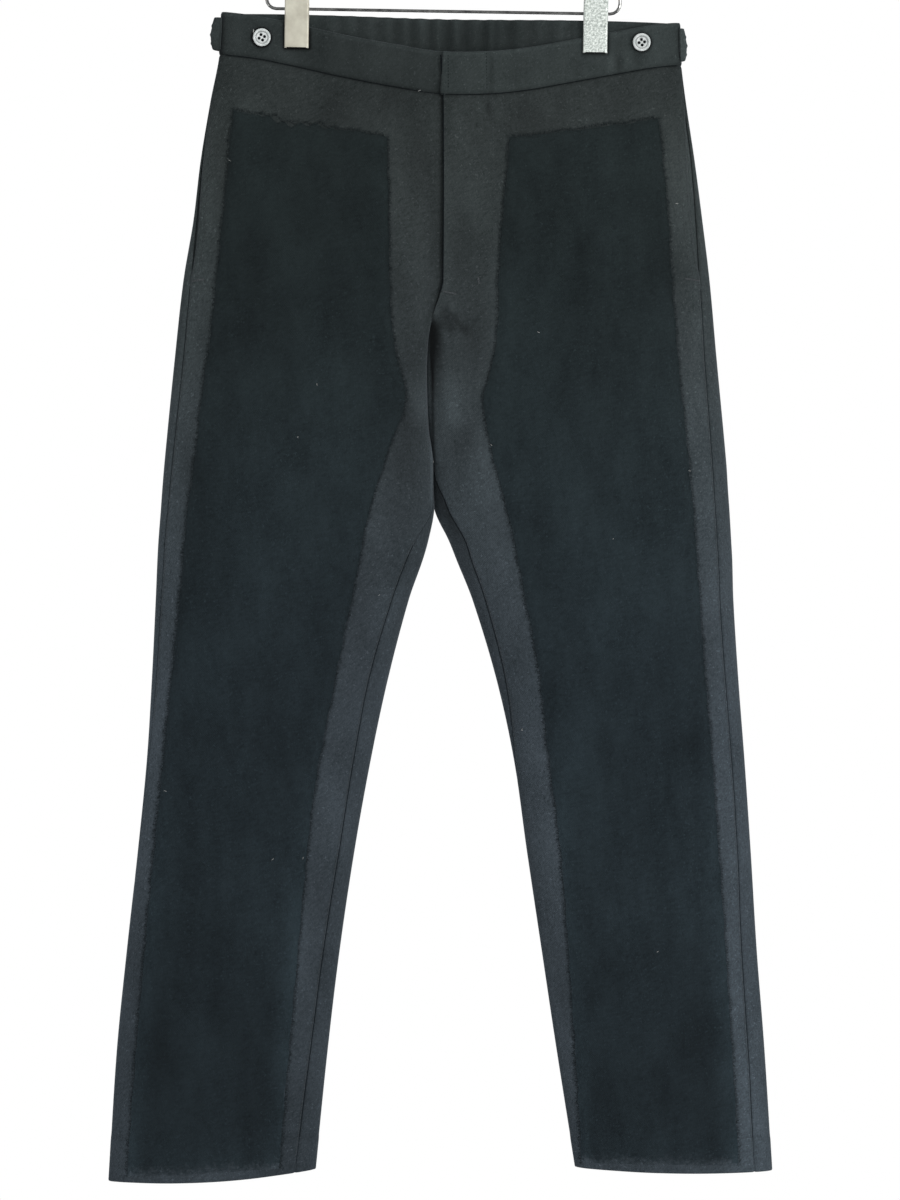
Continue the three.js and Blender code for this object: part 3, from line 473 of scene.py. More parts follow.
# Soft creases: from one place to another, how far each bows, its half width and its height.
# Those on the back are like the front's, because the photograph doesn't show it.
CREASES = {
    "front": table(
        "x0 drop0 x1 drop1 bow width height",
        (1, 254, 16, 284, 1, 4.5, 1.1),
        (-4, 258, 9, 292, 1, 4, -1.4),
        (11, 268, 23, 290, 2, 5, -0.9),
        (-6, 300, 8, 392, -3, 9, 1.2),
        (-22, 300, -16, 420, 4, 9, 1.0),
        (-14, 398, -58, 330, 5, 11, -0.9),
        (2, 405, 56, 336, -5, 12, -0.9),
        (-20, 440, -84, 420, 6, 12, 0.7),
        (12, 440, 80, 424, -6, 12, 0.7),
        (27, 72, 30, 90, 0, 2.6, 0.7),
        (36, 73, 40, 96, 0, 3, -0.8),
        (44, 72, 49, 100, 0, 4, 0.5),
        (-60, 60, -66, 84, 0, 5, 0.4),
        (-100, 54, -104, 86, 0, 6, -0.45),
        (100, 64, 108, 92, 0, 6, -0.45),
        (-236, 250, -206, 268, 3, 7, -0.6),
        (236, 250, 210, 266, -3, 7, -0.6),
        (-150, 560, -262, 612, 10, 16, 0.5),
        (-70, 640, -170, 668, -8, 15, -0.5),
        (90, 610, 190, 640, 8, 16, 0.5),
        (262, 680, 170, 702, -9, 16, -0.5),
        (-260, 800, -170, 822, 6, 17, -0.45),
        (100, 820, 200, 838, -6, 17, 0.45),
    ),
    "back": table(
        "x0 drop0 x1 drop1 bow width height",
        (-14, 398, -90, 352, 8, 11, -1.4),
        (-8, 402, 78, 350, -8, 11, -1.4),
        (-18, 420, -120, 396, 9, 13, 1.1),
        (4, 424, 116, 394, -9, 13, 1.1),
        (-30, 446, -150, 430, 8, 14, -1.0),
        (16, 450, 150, 432, -8, 14, -1.0),
        (-230, 300, -150, 330, 6, 12, 0.7),
        (236, 306, 156, 334, -6, 12, 0.7),
        (-70, 640, -200, 676, -8, 15, -0.8),
        (90, 610, 210, 652, 8, 16, -0.8),
        (-262, 620, -130, 640, 9, 15, 0.7),
        (262, 690, 150, 712, -9, 15, 0.7),
        (-120, 800, -240, 822, 6, 17, -0.6),
        (110, 800, 230, 826, -6, 17, -0.6),
        (-60, 52, -70, 100, 0, 7, -0.5),
        (64, 52, 74, 104, 0, 7, -0.5),
        (-20, 50, -22, 92, 0, 6, 0.5),
        (24, 50, 26, 92, 0, 6, -0.5),
    ),
}

# A crease's faded ends as a share of its length, how uneven it is along it, and how far off, how
# much wider and how strong the opposite bell beside it is
CREASE = {"fade": 0.35, "uneven": 0.25, "beats": 9, "beside": 1.9, "wider": 1.2, "share": 0.4}

# How near the side fold and the inner edge the creases die out, and where below the clips the waves
# start and over what drop they grow
SIDE_CALM = 16
INNER_CALM = 12
CLIP_CALM = (46, 50)

# Long low waves that the light picks out on hung cloth: wavelengths across and down, and height
WAVES = table(
    "across down turn height",
    (171, 410, 0.4, 0.42),
    (97, -330, 2.1, 0.3),
    (-61, 190, 4.4, 0.2),
    (230, 87, 1.3, 0.16),
    (43, 240, 5.2, 0.12),
    (-350, 61, 3.1, 0.1),
)


def waves(x, drop):
    """The sum of long plane waves over x and drop."""
    total = np.zeros(np.broadcast(x, drop).shape)
    for k in range(len(WAVES["across"])):
        phase = x / WAVES["across"][k] + drop / WAVES["down"][k]
        total += WAVES["height"][k] * np.sin(2 * math.pi * phase + WAVES["turn"][k])
    return total


def creases(rows, x, drop):
    """The sum of creases. Each is a bell across a bowed line, with a shallow opposite bell beside
    it, uneven along its length and faded at both ends."""
    total = np.zeros(np.broadcast(x, drop).shape)
    for k in range(len(rows["x0"])):
        x0, d0, x1, d1, bow, width, height = (rows[name][k] for name in rows)
        length = math.hypot(x1 - x0, d1 - d0)
        ux, ud = (x1 - x0) / length, (d1 - d0) / length
        along = ((x - x0) * ux + (drop - d0) * ud) / length
        across = (x - x0) * -ud + (drop - d0) * ux - bow * 4 * along * (1 - along)
        fade = smooth(along / CREASE["fade"]) * smooth((1 - along) / CREASE["fade"])
        uneven = 1 + CREASE["uneven"] * np.sin(CREASE["beats"] * along + k)
        beside = bell(across - CREASE["beside"] * width, CREASE["wider"] * width)
        total += height * fade * uneven * (bell(across, width) - CREASE["share"] * beside)
    return total


def relief(leg, point, angle, drop):
    """Height of the waves and creases, run out at the clips, the side fold and the inner edge."""
    x = point[..., 0]
    back = np.sin(angle) < 0
    across = (1 - np.cos(angle)) / 2
    width = np.abs(inner_x(leg, drop) - outer_x(leg, drop))
    from_side = smooth(across * width / SIDE_CALM)
    from_inner = smooth((1 - across) * width / INNER_CALM)
    folds = np.where(back, creases(CREASES["back"], x, drop), creases(CREASES["front"], x, drop))
    folds = folds * np.where(drop < FORK, 1.0, from_inner)
    rolling = waves(x, drop) * from_inner * rise(drop, *CLIP_CALM)
    return (folds + np.where(back, -rolling, rolling)) * from_side


def on_front(leg, x, drop, out=0.0):
    """A point of the front cloth at x and drop, moved out, with its normal."""
    x, drop = np.broadcast_arrays(np.asarray(x, float), np.asarray(drop, float))
    angle = angle_of_x(leg, x, drop)
    base = face_point(leg, angle, drop)
    normal = front_normal(leg, angle, drop)
    return base + normal * (relief(leg, base, angle, drop) + out)[..., None], normal


# Meshes


def make_object(name, points, polygons):
    """An object at the origin from points in millimetres and arrays of equal-sided faces."""
    mesh = bpy.data.meshes.new(name)
    corners = np.concatenate([faces.ravel() for faces in polygons]).astype(np.int32)
    sizes = np.concatenate([np.full(len(faces), faces.shape[1]) for faces in polygons])
    starts = np.concatenate([[0], np.cumsum(sizes)[:-1]]).astype(np.int32)
    mesh.vertices.add(len(points))
    mesh.vertices.foreach_set("co", (np.asarray(points, float) * MM).astype(np.float32).ravel())
    mesh.loops.add(len(corners))
    mesh.loops.foreach_set("vertex_index", corners)
    mesh.polygons.add(len(starts))
    mesh.polygons.foreach_set("loop_start", starts)
    mesh.polygons.foreach_set("use_smooth", np.full(len(starts), True))
    mesh.update(calc_edges=True)
    mesh.validate()
    made = bpy.data.objects.new(name, mesh)
    bpy.context.scene.collection.objects.link(made)
    return made


def add_value(made, name, values):
    """A number at each point of a mesh, for its material. A wall's grid gives both its faces."""
    whole = np.zeros(len(made.data.vertices), np.float32)
    flat = np.asarray(values, np.float32).ravel()
    whole[: flat.size] = flat
    if 2 * flat.size <= whole.size:
        whole[flat.size : 2 * flat.size] = flat
    attribute = made.data.attributes.new(name, "FLOAT", "POINT")
    attribute.data.foreach_set("value", whole)


def volume_of(points, quads):
    """Signed volume inside quads: a sixth of the sum of triple products of their halves."""
    a, b, c, d = (points[quads[:, k]] for k in range(4))
    halves = np.einsum("ij,ij->i", a, np.cross(b, c)) + np.einsum("ij,ij->i", a, np.cross(c, d))
    return halves.sum() / 6


RIM_TURNS = (0.25, 0.5, 0.75)


def wall(name, outer, inner, bulge=0.5):
    """A closed cloth wall between two grids of points, with a rounded rim: between the two edges
    its points turn half a circle, as wide as the wall is thick and bulge times as deep."""
    rows, columns = outer.shape[:2]
    index = np.arange(rows * columns).reshape(rows, columns)
    border = np.concatenate([index[0], index[1:, -1], index[-1, -2::-1], index[-2:0:-1, 0]])
    inside = np.concatenate([index[1], index[1:, -2], index[-2, -2::-1], index[-2:0:-1, 1]])
    front, behind = outer.reshape(-1, 3), inner.reshape(-1, 3)
    edge_out, edge_in = front[border], behind[border]
    across = edge_out - edge_in
    thick = np.linalg.norm(across, axis=1, keepdims=True)
    across = across / np.maximum(thick, 1e-9)
    away = edge_out - front[inside]
    away = unit(away - across * np.einsum("ij,ij->i", away, across)[:, None])
    middle = (edge_out + edge_in) / 2
    rings = [
        middle + thick * (across * math.cos(math.pi * t) / 2 + away * bulge * math.sin(math.pi * t))
        for t in RIM_TURNS
    ]
    points = np.concatenate([front, behind, *rings])
    count, loop = rows * columns, len(border)
    chain = [border, *[2 * count + k * loop + np.arange(loop) for k in range(len(rings))], border + count]
    corners = (index[:-1, :-1], index[:-1, 1:], index[1:, 1:], index[1:, :-1])
    sheet = np.stack([corner.ravel() for corner in corners], 1)
    faces = [sheet, sheet[:, ::-1] + count]
    for near, far in zip(chain[:-1], chain[1:]):
        faces.append(np.stack([np.roll(near, -1), near, far, np.roll(far, -1)], 1))
    quads = np.concatenate(faces)
    if volume_of(points, quads) < 0:
        quads = quads[:, ::-1]
    return make_object(name, points, [quads])


def near_ends(count, *steps):
    """Places from 0 to 1, evenly spread with some more close to both ends."""
    middle = np.linspace(steps[-1] * 2, 1 - steps[-1] * 2, count)
    steps = np.array(steps)
    return np.concatenate([[0.0], steps, middle, 1 - steps[::-1], [1.0]])


# How finely pieces are meshed, across and down: the middle's places, then those near the edges
GRIDS = {
    "panel": ((104, 0.002, 0.006, 0.012), (300, 0.0006, 0.002, 0.004)),
    "felt": ((74, 0.004, 0.012, 0.024), (330, 0.0006, 0.002, 0.004)),
    "front_band": ((230, 0.002, 0.006), (44, 0.015, 0.05)),
    "strap": ((96, 0.008, 0.02), (30, 0.015, 0.05)),
}


def grid(piece):
    """A piece's shares from 0 to 1, across it as a row and down it as a column."""
    across, down = (near_ends(*places) for places in GRIDS[piece])
    return across[None, :], down[:, None]


def fall(distance, depth, over):
    """How far cloth turns down into a seam beside it: the square of what is left of the way."""
    return -depth * (1 - np.clip(distance / over, 0, 1)) ** 2


def tubes(strands, normals, radius, sides=4, pointed=True):
    """Round threads along rows of points: at each point a ring of sides, square to the way on,
    drawn in to both ends as an ellipse if pointed. Gives points, quads and end faces."""
    count, steps = strands.shape[:2]
    along = unit(np.gradient(strands, axis=1))
    side = unit(np.cross(along, normals))
    up = np.cross(side, along)
    turns = (np.arange(sides) * 2 * math.pi / sides)[:, None]
    taper = np.sqrt(np.clip(1.04 - np.linspace(-1, 1, steps) ** 2, 0.04, 1)) if pointed else np.ones(steps)
    width = np.asarray(radius, float).reshape(-1, 1) * taper
    ring = side[:, :, None] * np.cos(turns) + up[:, :, None] * np.sin(turns)
    points = (strands[:, :, None] + ring * width[:, :, None, None]).reshape(-1, 3)
    index = np.arange(count * steps * sides).reshape(count, steps, sides)
    turned = np.roll(index, -1, axis=2)
    quads = np.stack([index[:, :-1], turned[:, :-1], turned[:, 1:], index[:, 1:]], -1).reshape(-1, 4)
    ends = np.concatenate([index[:, 0, ::-1], index[:, -1]])
    return points, quads, ends


def join(name, parts):
    """One mesh from several sets of tubes."""
    starts = np.cumsum([0] + [len(points) for points, _, _ in parts[:-1]])
    quads = np.concatenate([part[1] + start for part, start in zip(parts, starts)])
    ends = [part[2] + start for part, start in zip(parts, starts)]
    return make_object(name, np.concatenate([part[0] for part in parts]), [quads, *ends])


def at_places(path, columns, places):
    """Values beside a path's points, read at distances along the path."""
    length = np.concatenate([[0], np.cumsum(np.linalg.norm(np.diff(path, axis=0), axis=1))])
    return np.stack([np.interp(places, length, columns[:, k]) for k in range(3)], -1)


def stitched(path, normals, length=2.4, gap=0.8, lift=0.12, sink=0.08, points=5):
    """A run of stitches along a path: each lies along it, raised by a sine in its middle and sunk
    at its ends."""
    total = np.linalg.norm(np.diff(path, axis=0), axis=1).sum()
    count = max(1, int(total // (length + gap)))
    share = np.linspace(0, 1, points)
    places = (np.arange(count) * (length + gap))[:, None] + share * length
    up = unit(at_places(path, normals, places))
    raised = (lift * np.sin(math.pi * share) - sink)[:, None]
    return at_places(path, path, places) + up * raised, up


# Materials


def add(tree, kind, inputs=(), **settings):
    """A shader node with its settings, and its inputs set or joined by name or number."""
    made = tree.nodes.new("ShaderNode" + kind)
    for key, value in settings.items():
        setattr(made, key, value)
    for key, value in dict(inputs).items():
        if isinstance(value, bpy.types.NodeSocket):
            tree.links.new(value, made.inputs[key])
        else:
            made.inputs[key].default_value = value
    return made


def sum_of(tree, a, b, operation="ADD", c=None):
    """A sum, or another Math operation, of values."""
    inputs = {0: a, 1: b} if c is None else {0: a, 1: b, 2: c}
    return add(tree, "Math", inputs, operation=operation).outputs[0]


def blend_colours(tree, share, a, b):
    """A mix of two colours. A Mix node's colour sockets are the sixth and seventh."""
    inputs = {0: share, 6: a, 7: b}
    return add(tree, "Mix", inputs, data_type="RGBA", clamp_factor=True).outputs[2]


def remap(tree, value, low, high, to_low=0.0, to_high=1.0):
    """A value's eased way from low to high."""
    inputs = {"Value": value, "From Min": low, "From Max": high, "To Min": to_low, "To Max": to_high}
    return add(tree, "MapRange", inputs, interpolation_type="SMOOTHSTEP", clamp=True).outputs["Result"]


def new_group(name, inputs, outputs):
    """An empty shader group with its sockets, and the nodes at its two ends."""
    tree = bpy.data.node_groups.new(name, "ShaderNodeTree")
    kinds = {"value": "NodeSocketFloat", "colour": "NodeSocketColor"}
    for label, kind, start in inputs:
        socket = tree.interface.new_socket(label, in_out="INPUT", socket_type=kinds[kind])
        socket.default_value = start
    for label, kind in outputs:
        tree.interface.new_socket(label, in_out="OUTPUT", socket_type=kinds[kind])
    return tree, tree.nodes.new("NodeGroupInput").outputs, tree.nodes.new("NodeGroupOutput").inputs


def noise(tree, where, scale, detail=2.0, roughness=0.5, stretch=None, turn=(0, 0, 0)):
    """Noise over a place, which may first be turned and stretched, so that the noise lies in streaks."""
    if stretch is not None:
        where = add(tree, "Mapping", {"Vector": where, "Rotation": turn}, vector_type="POINT").outputs[0]
        where = add(tree, "Mapping", {"Vector": where, "Scale": stretch}, vector_type="POINT").outputs[0]
    inputs = {"Vector": where, "Scale": scale, "Detail": detail, "Roughness": roughness}
    return add(tree, "TexNoise", inputs).outputs["Fac"]


# The wool's cast: bluer at the hems, greener at the waist, between two heights in metres
LOW_CAST, HIGH_CAST = (0.97, 1.0, 1.07, 1), (1.01, 1.0, 0.89, 1)
CAST_HEIGHTS = (-0.8, -0.2)

# The wool's noises: scale, detail and roughness, then how each is stretched and turned
WOOL_NOISES = {
    "broad": (11, 3, 0.55),
    "streaks": (55, 4, 0.6, (1, 1, 0.35), (0, 0.06, 0)),
    "flecks": (760, 3, 0.6, (1, 1, 0.3), (0, 0.1, 0)),
    "slubs": (520, 2, 0.5, (0.3, 1, 1), (0, 0.2, 0)),
    "lying": (1500, 2, 0.5, (1, 1, 0.14), (0, 0.35, 0)),
    "crossing": (1500, 2, 0.5, (0.14, 1, 1), (0, 0.3, 0)),
    "slanting": (1200, 2, 0.5, (1, 1, 0.12), (0, -0.8, 0)),
    "neps": (480, 1, 0.4),
}

# The twill's waves, where neps start and their share, and what each part adds to the height
TWILL_WAVES = {"Scale": 420.0, "Distortion": 1.6, "Detail": 2.0, "Detail Scale": 2.0}
NEPS = {"from": 0.68, "to": 0.74, "share": 0.7}
RAISED = {"hair": 0.4, "fleck": 0.35, "twill": 0.2}


def brushed_wool():
    """Brushed wool cloth. Its shade is the sum of broad patches, hand-wide streaks, upright flecks,
    the twill under the nap, fibres that lie in three directions and scattered pale neps, each times
    its own share. The colour takes the cast for its height, and the points' tone, which holds painted
    light and shade as well as the cloth's own tone, makes it darker or lighter. The height is fibres,
    flecks and twill."""
    tree, given, made = new_group(
        "brushed_wool",
        [
            ("Dark", "colour", (0.02, 0.02, 0.02, 1)),
            ("Light", "colour", (0.06, 0.06, 0.06, 1)),
            ("Patches", "value", 0.6),
            ("Flecks", "value", 0.6),
            ("Fibres", "value", 0.6),
            ("Twill", "value", 0.25),
        ],
        [("Colour", "colour"), ("Height", "value")],
    )
    where = add(tree, "TexCoord").outputs["Object"]
    grain = {name: noise(tree, where, *how) for name, how in WOOL_NOISES.items()}
    bands = {"wave_type": "BANDS", "bands_direction": "DIAGONAL"}
    twill = add(tree, "TexWave", {"Vector": where, **TWILL_WAVES}, **bands).outputs["Fac"]
    lying = sum_of(tree, grain["lying"], grain["crossing"])
    hair = sum_of(tree, lying, sum_of(tree, grain["slanting"], -1.5))
    fleck = sum_of(tree, sum_of(tree, grain["flecks"], grain["slubs"]), 1.0, "SUBTRACT")
    patches = sum_of(tree, sum_of(tree, grain["broad"], grain["streaks"]), 1.0, "SUBTRACT")
    woven = sum_of(tree, twill, 0.5, "SUBTRACT")
    neps = remap(tree, grain["neps"], NEPS["from"], NEPS["to"])
    shade = 0.5
    shares = (given["Patches"], given["Flecks"], given["Fibres"], given["Twill"], NEPS["share"])
    for part, share in zip((patches, fleck, hair, woven, neps), shares):
        shade = sum_of(tree, part, share, "MULTIPLY_ADD", shade)
    cloth = blend_colours(tree, shade, given["Dark"], given["Light"])
    up = add(tree, "SeparateXYZ", {"Vector": where}).outputs["Z"]
    cast = blend_colours(tree, remap(tree, up, *CAST_HEIGHTS), LOW_CAST, HIGH_CAST)
    cloth = add(tree, "VectorMath", {0: cloth, 1: cast}, operation="MULTIPLY").outputs[0]
    tone = add(tree, "Attribute", attribute_name="tone").outputs["Fac"]
    toned = add(tree, "VectorMath", {0: cloth, "Scale": sum_of(tree, tone, 1.0)}, operation="SCALE")
    tree.links.new(toned.outputs[0], made["Colour"])
    height = sum_of(tree, hair, RAISED["hair"], "MULTIPLY")
    height = sum_of(tree, fleck, RAISED["fleck"], "MULTIPLY_ADD", height)
    tree.links.new(sum_of(tree, woven, RAISED["twill"], "MULTIPLY_ADD", height), made["Height"])
    return tree


def new_material(name, **shader):
    """A material whose Principled shader has the given values."""
    material = bpy.data.materials.new(name)
    material.use_nodes = True
    principled = material.node_tree.nodes["Principled BSDF"]
    for key, value in shader.items():
        principled.inputs[key.replace("_", " ")].default_value = value
    return material, material.node_tree, principled


def bump(tree, principled, height, distance):
    """Raises the surface by a height, over a distance in metres."""
    normal = add(tree, "Bump", {"Height": height, "Distance": distance, "Strength": 1.0})
    tree.links.new(normal.outputs["Normal"], principled.inputs["Normal"])


def wool(tree, group, finish):
    """The wool group with a finish's colours and shares."""
    made = add(tree, "Group", node_tree=group)
    for key, value in finish.items():
        made.inputs[key].default_value = (*value, 1) if isinstance(value, tuple) else value
    return made


FLANNEL = {
    "Dark": (0.0086, 0.0122, 0.0132),
    "Light": (0.0482, 0.0578, 0.0645),
    "Patches": 0.4,
    "Flecks": 0.36,
    "Fibres": 0.55,
    "Twill": 0.1,
}
BAND_FLANNEL = {
    "Dark": (0.009, 0.0125, 0.0135),
    "Light": (0.034, 0.0415, 0.0465),
    "Patches": 0.6,
    "Flecks": 0.3,
    "Fibres": 0.45,
    "Twill": 0.1,
}
FELTED = {
    "Dark": (0.0038, 0.0065, 0.0076),
    "Light": (0.0162, 0.0242, 0.0274),
    "Patches": 0.8,
    "Flecks": 0.5,
    "Fibres": 0.5,
    "Twill": 0.0,
}
CLOTH_SHADER = {
    "Roughness": 0.96,
    "Specular_IOR_Level": 0.1,
    "Sheen_Weight": 0.16,
    "Sheen_Roughness": 0.4,
    "Sheen_Tint": (0.8, 0.9, 1.0, 1),
}
FELT_SHADER = {**CLOTH_SHADER, "Sheen_Weight": 0.05, "Sheen_Roughness": 0.6}
MATT_THREAD = {"Roughness": 0.95, "Specular_IOR_Level": 0.05}
CLIP_METAL = {"Roughness": 0.5, "Metallic": 0.35}

# The felt's ragged edge: its noise, how far that reaches, and between what values the edge shows
RAGGED = {"noise": (260, 5, 0.7), "reach": 7.0, "shown": (1.4, 4.4)}
GRAIN_SPAN = (0.3, 0.7)


def wool_material(name, group, finish, raised):
    """Cloth in the wool group's colour, raised by its height."""
    material, tree, principled = new_material(name, **CLOTH_SHADER)
    made = wool(tree, group, finish)
    tree.links.new(made.outputs["Colour"], principled.inputs["Base Color"])
    bump(tree, principled, made.outputs["Height"], raised)
    return material


def felt_material(group):
    """Felt whose raw edge fades, over a ragged few millimetres, to the cloth that it lies on."""
    material, tree, principled = new_material("felted_wool", **FELT_SHADER)
    felt, cloth = wool(tree, group, FELTED), wool(tree, group, FLANNEL)
    edge = add(tree, "Attribute", attribute_name="edge").outputs["Fac"]
    where = add(tree, "TexCoord").outputs["Object"]
    ragged = sum_of(tree, noise(tree, where, *RAGGED["noise"]), RAGGED["reach"], "MULTIPLY_ADD", edge)
    share = remap(tree, ragged, *RAGGED["shown"])
    colour = blend_colours(tree, share, cloth.outputs["Colour"], felt.outputs["Colour"])
    tree.links.new(colour, principled.inputs["Base Color"])
    bump(tree, principled, felt.outputs["Height"], 0.0005)
    return material


def plain_material(name, low, high, scale, raised=0.0002, painted_shade=None, **shader):
    """A colour between two, by fine noise, with a darker painted shade where the points' mask value says."""
    material, tree, principled = new_material(name, **shader)
    where = add(tree, "TexCoord").outputs["Object"]
    grain = noise(tree, where, scale, 4, 0.6)
    colour = blend_colours(tree, remap(tree, grain, *GRAIN_SPAN), (*low, 1), (*high, 1))
    if painted_shade:
        mark = add(tree, "Attribute", attribute_name="painted_shade").outputs["Fac"]
        colour = blend_colours(tree, mark, colour, (*painted_shade, 1))
    tree.links.new(colour, principled.inputs["Base Color"])
    bump(tree, principled, grain, raised)
    return material


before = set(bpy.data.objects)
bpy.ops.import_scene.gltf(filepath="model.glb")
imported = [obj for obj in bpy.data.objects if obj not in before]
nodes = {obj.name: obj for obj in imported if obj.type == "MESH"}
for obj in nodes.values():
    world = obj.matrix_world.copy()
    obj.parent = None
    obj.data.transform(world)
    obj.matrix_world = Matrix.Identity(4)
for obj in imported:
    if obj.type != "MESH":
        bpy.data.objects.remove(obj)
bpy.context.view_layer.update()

WOOL = brushed_wool()
MAIN = wool_material("charcoal_flannel", WOOL, FLANNEL, 0.0006)
BAND = wool_material("waistband_flannel", WOOL, BAND_FLANNEL, 0.0005)
FELT = felt_material(WOOL)
# Dark thread, which also colours the cords laid as painted shade in the seams
DARK_THREAD_AND_SHADE = plain_material("dark_thread_and_shade", (0.002, 0.003, 0.004), (0.007, 0.009, 0.011), 900, **MATT_THREAD)
FELT_THREAD = plain_material("felt_thread", (0.006, 0.009, 0.01), (0.02, 0.026, 0.029), 500, **MATT_THREAD)
TOPSTITCH = plain_material("charcoal_thread", (0.018, 0.023, 0.025), (0.052, 0.06, 0.064), 900, Roughness=0.9)
PALE_THREAD = plain_material("bartack_thread", (0.03, 0.036, 0.04), (0.085, 0.095, 0.1), 900, Roughness=0.9)
LINT = plain_material("lint", (0.34, 0.34, 0.33), (0.6, 0.6, 0.58), 900, Roughness=0.9)
HORN_COLOURS = (0.4, 0.43, 0.42), (0.62, 0.64, 0.63)
# The colour of the painted shade in the buttons' holes
HOLE_SHADE_COLOUR = (0.012, 0.014, 0.014)
BUTTON_HORN = plain_material("grey_button", *HORN_COLOURS, 240, 0.00005, HOLE_SHADE_COLOUR, Roughness=0.3)
WIRE_COLOURS = (0.07, 0.07, 0.07), (0.24, 0.24, 0.23)
WIRE = plain_material("hanger_wire", *WIRE_COLOURS, 120, 0.00003, Roughness=0.16, Metallic=1.0)
WARM_PLATE = (0.45, 0.425, 0.345), (0.61, 0.59, 0.49)
CLIP_WARM = plain_material("clip_plate_warm", *WARM_PLATE, 42, 0.00002, **CLIP_METAL)
COOL_PLATE = (0.3, 0.34, 0.31), (0.86, 0.9, 0.85)
CLIP_COOL = plain_material("clip_plate_cool", *COOL_PLATE, 620, 0.00005, **CLIP_METAL)


def finish_piece(made, material, slot, *replaced):
    """Gives a piece its material and joins it to the part's one body. The slot is not used."""
    made.data.materials.append(material)
    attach(made, "root")
    if replaced:
        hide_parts(*replaced)
    return made


def cloth_piece(name, base, normal, high, low, material, slot, node):
    """A cloth wall between its points moved out along their normals by a high and a low amount."""
    outer, inner = (base + normal * np.asarray(out)[..., None] for out in (high, low))
    return finish_piece(wall(name, outer, inner), material, slot, node)


# Leg panels


def panel_angles(leg, back, drop, shares):
    """The turns of a panel's columns at given drops: from the side seam, or the pocket's mouth, to
    the inner seam, or for a back from the inner seam round to the side."""
    outseam, inseam = outseam_angle(leg, drop), inseam_angle(leg, drop)
    if back:
        start = np.where(drop < FORK, centre_angle(True), inseam)
        return mix(start, 2 * math.pi + outseam, shares)
    mouth = read(leg["rows"], "outseam", drop) + read(POCKETS[leg["name"]], "gape", drop)
    start = np.where(mouth > 0, edge_angle(leg, mouth, drop), outseam)
    return mix(start, inseam, shares)


# How far the right front runs on under the left one, and how deep it is sunk there: over what turns,
# and about the fly's end over what drop both run out
LAP = {"reach": 8, "reach_from": 0.5, "above": 14, "run_out": 20}
SINK = {"panel": 2.2, "band": 2.9, "from": 0.95, "over": 0.5, "above": 4, "run_out": 44}


def lap_under(points, angle, drop, sunk):
    """Carries the right front on behind the left front's edge, down to the end of the fly."""
    reached = 1 - smooth((drop - FLY_END + LAP["above"]) / LAP["run_out"])
    lapped = 1 - smooth((drop - FLY_END + SINK["above"]) / SINK["run_out"])
    past = angle - math.pi
    points[..., 0] += LAP["reach"] * reached * smooth((past + LAP["reach_from"]) / LAP["reach_from"])
    points[..., 1] += sunk * lapped * smooth((past + SINK["from"]) / SINK["over"])


# How the cloth's tone runs, as painted light: darker by the waist, paler down the legs and paler on the
# left leg, which the key light faces, with a painted sheen along the side fold. Each run is where an
# ease starts and what drop it takes.
TONE = {"waist": -0.23, "leg": 0.05, "run": (120, 420)}
LEG_TONE = {"left": 0.19, "right": 0.0, "back": 0.4, "run": (40, 120)}
SIDE_TONE = {"right": 0.58, "left": 0.28, "low": 0.2, "low_run": (600, 300), "width": 28, "run": (50, 110)}


def cloth_tone(leg, drop, back, from_side=1000.0):
    """The broad tone of a leg's cloth, painted light: an ease down the leg, with a share for which leg it
    is, and a painted sheen that makes it paler along the side fold."""
    down = mix(TONE["waist"], TONE["leg"], rise(drop, *TONE["run"]))
    side = SIDE_TONE[leg["name"]] + SIDE_TONE["low"] * rise(drop, *SIDE_TONE["low_run"])
    # Painted sheen: paler along the side fold
    rub_and_sheen = side * bell(from_side, SIDE_TONE["width"]) * rise(drop, *SIDE_TONE["run"])
    own = LEG_TONE[leg["name"]] * np.where(back, LEG_TONE["back"], rise(drop, *LEG_TONE["run"]))
    return down + rub_and_sheen + own


# The felt's broad tone, with painted light that makes the left felt paler than the right
FELT_TONE = {"top": -0.17, "middle": 0.06, "foot": -0.15, "hem": 0.14, "left": 0.05, "right": -0.03}
FELT_RUNS = {"middle": (130, 260), "foot": (700, 230), "hem": (975, 55)}
FELT_ROLL = {"size": 0.05, "length": 57}


def felt_tone(name, drop):
    """The broad tone of the felt: darker at its top and low on the leg, with a slow roll between, paler
    over the hem, and painted light that makes it paler on the left leg."""
    eased = mix(FELT_TONE["top"], FELT_TONE["middle"], rise(drop, *FELT_RUNS["middle"]))
    eased = mix(eased, FELT_TONE["foot"], rise(drop, *FELT_RUNS["foot"]))
    eased = eased + FELT_TONE["hem"] * rise(drop, *FELT_RUNS["hem"])
    return eased + FELT_TONE[name] + FELT_ROLL["size"] * np.sin(drop / FELT_ROLL["length"])


# Painted light and shade where the right leg's fold lies over the left leg: the drops that it shows
# between, its painted lit edge and the painted dark line beside that, and on the left leg the painted
# shadow line and the painted shade of the valley
FOLD = {"from": 262, "to": 450, "over": 24, "lit": 0.7, "in": 1.6, "width": 1.4, "dark": 0.3, "line": 0.6}
VALLEY = {"dark": 0.75, "line": 1.8, "deep": 0.9, "in": 3, "width": 7, "run": (266, 16)}
VALLEY_END = {"at": 352, "over": 60}

# The painted shade of the dimple that the fly's lowest bar tack pulls, in x and drop, and the painted
# shade that runs on from it
DIMPLE = {"x": 9, "drop": 273, "slant": 56, "length": 11, "width": 3.4, "deep": 0.5}
DIMPLE_SHADE = {"deep": 0.16, "on": 22, "length": 20, "width": 11}


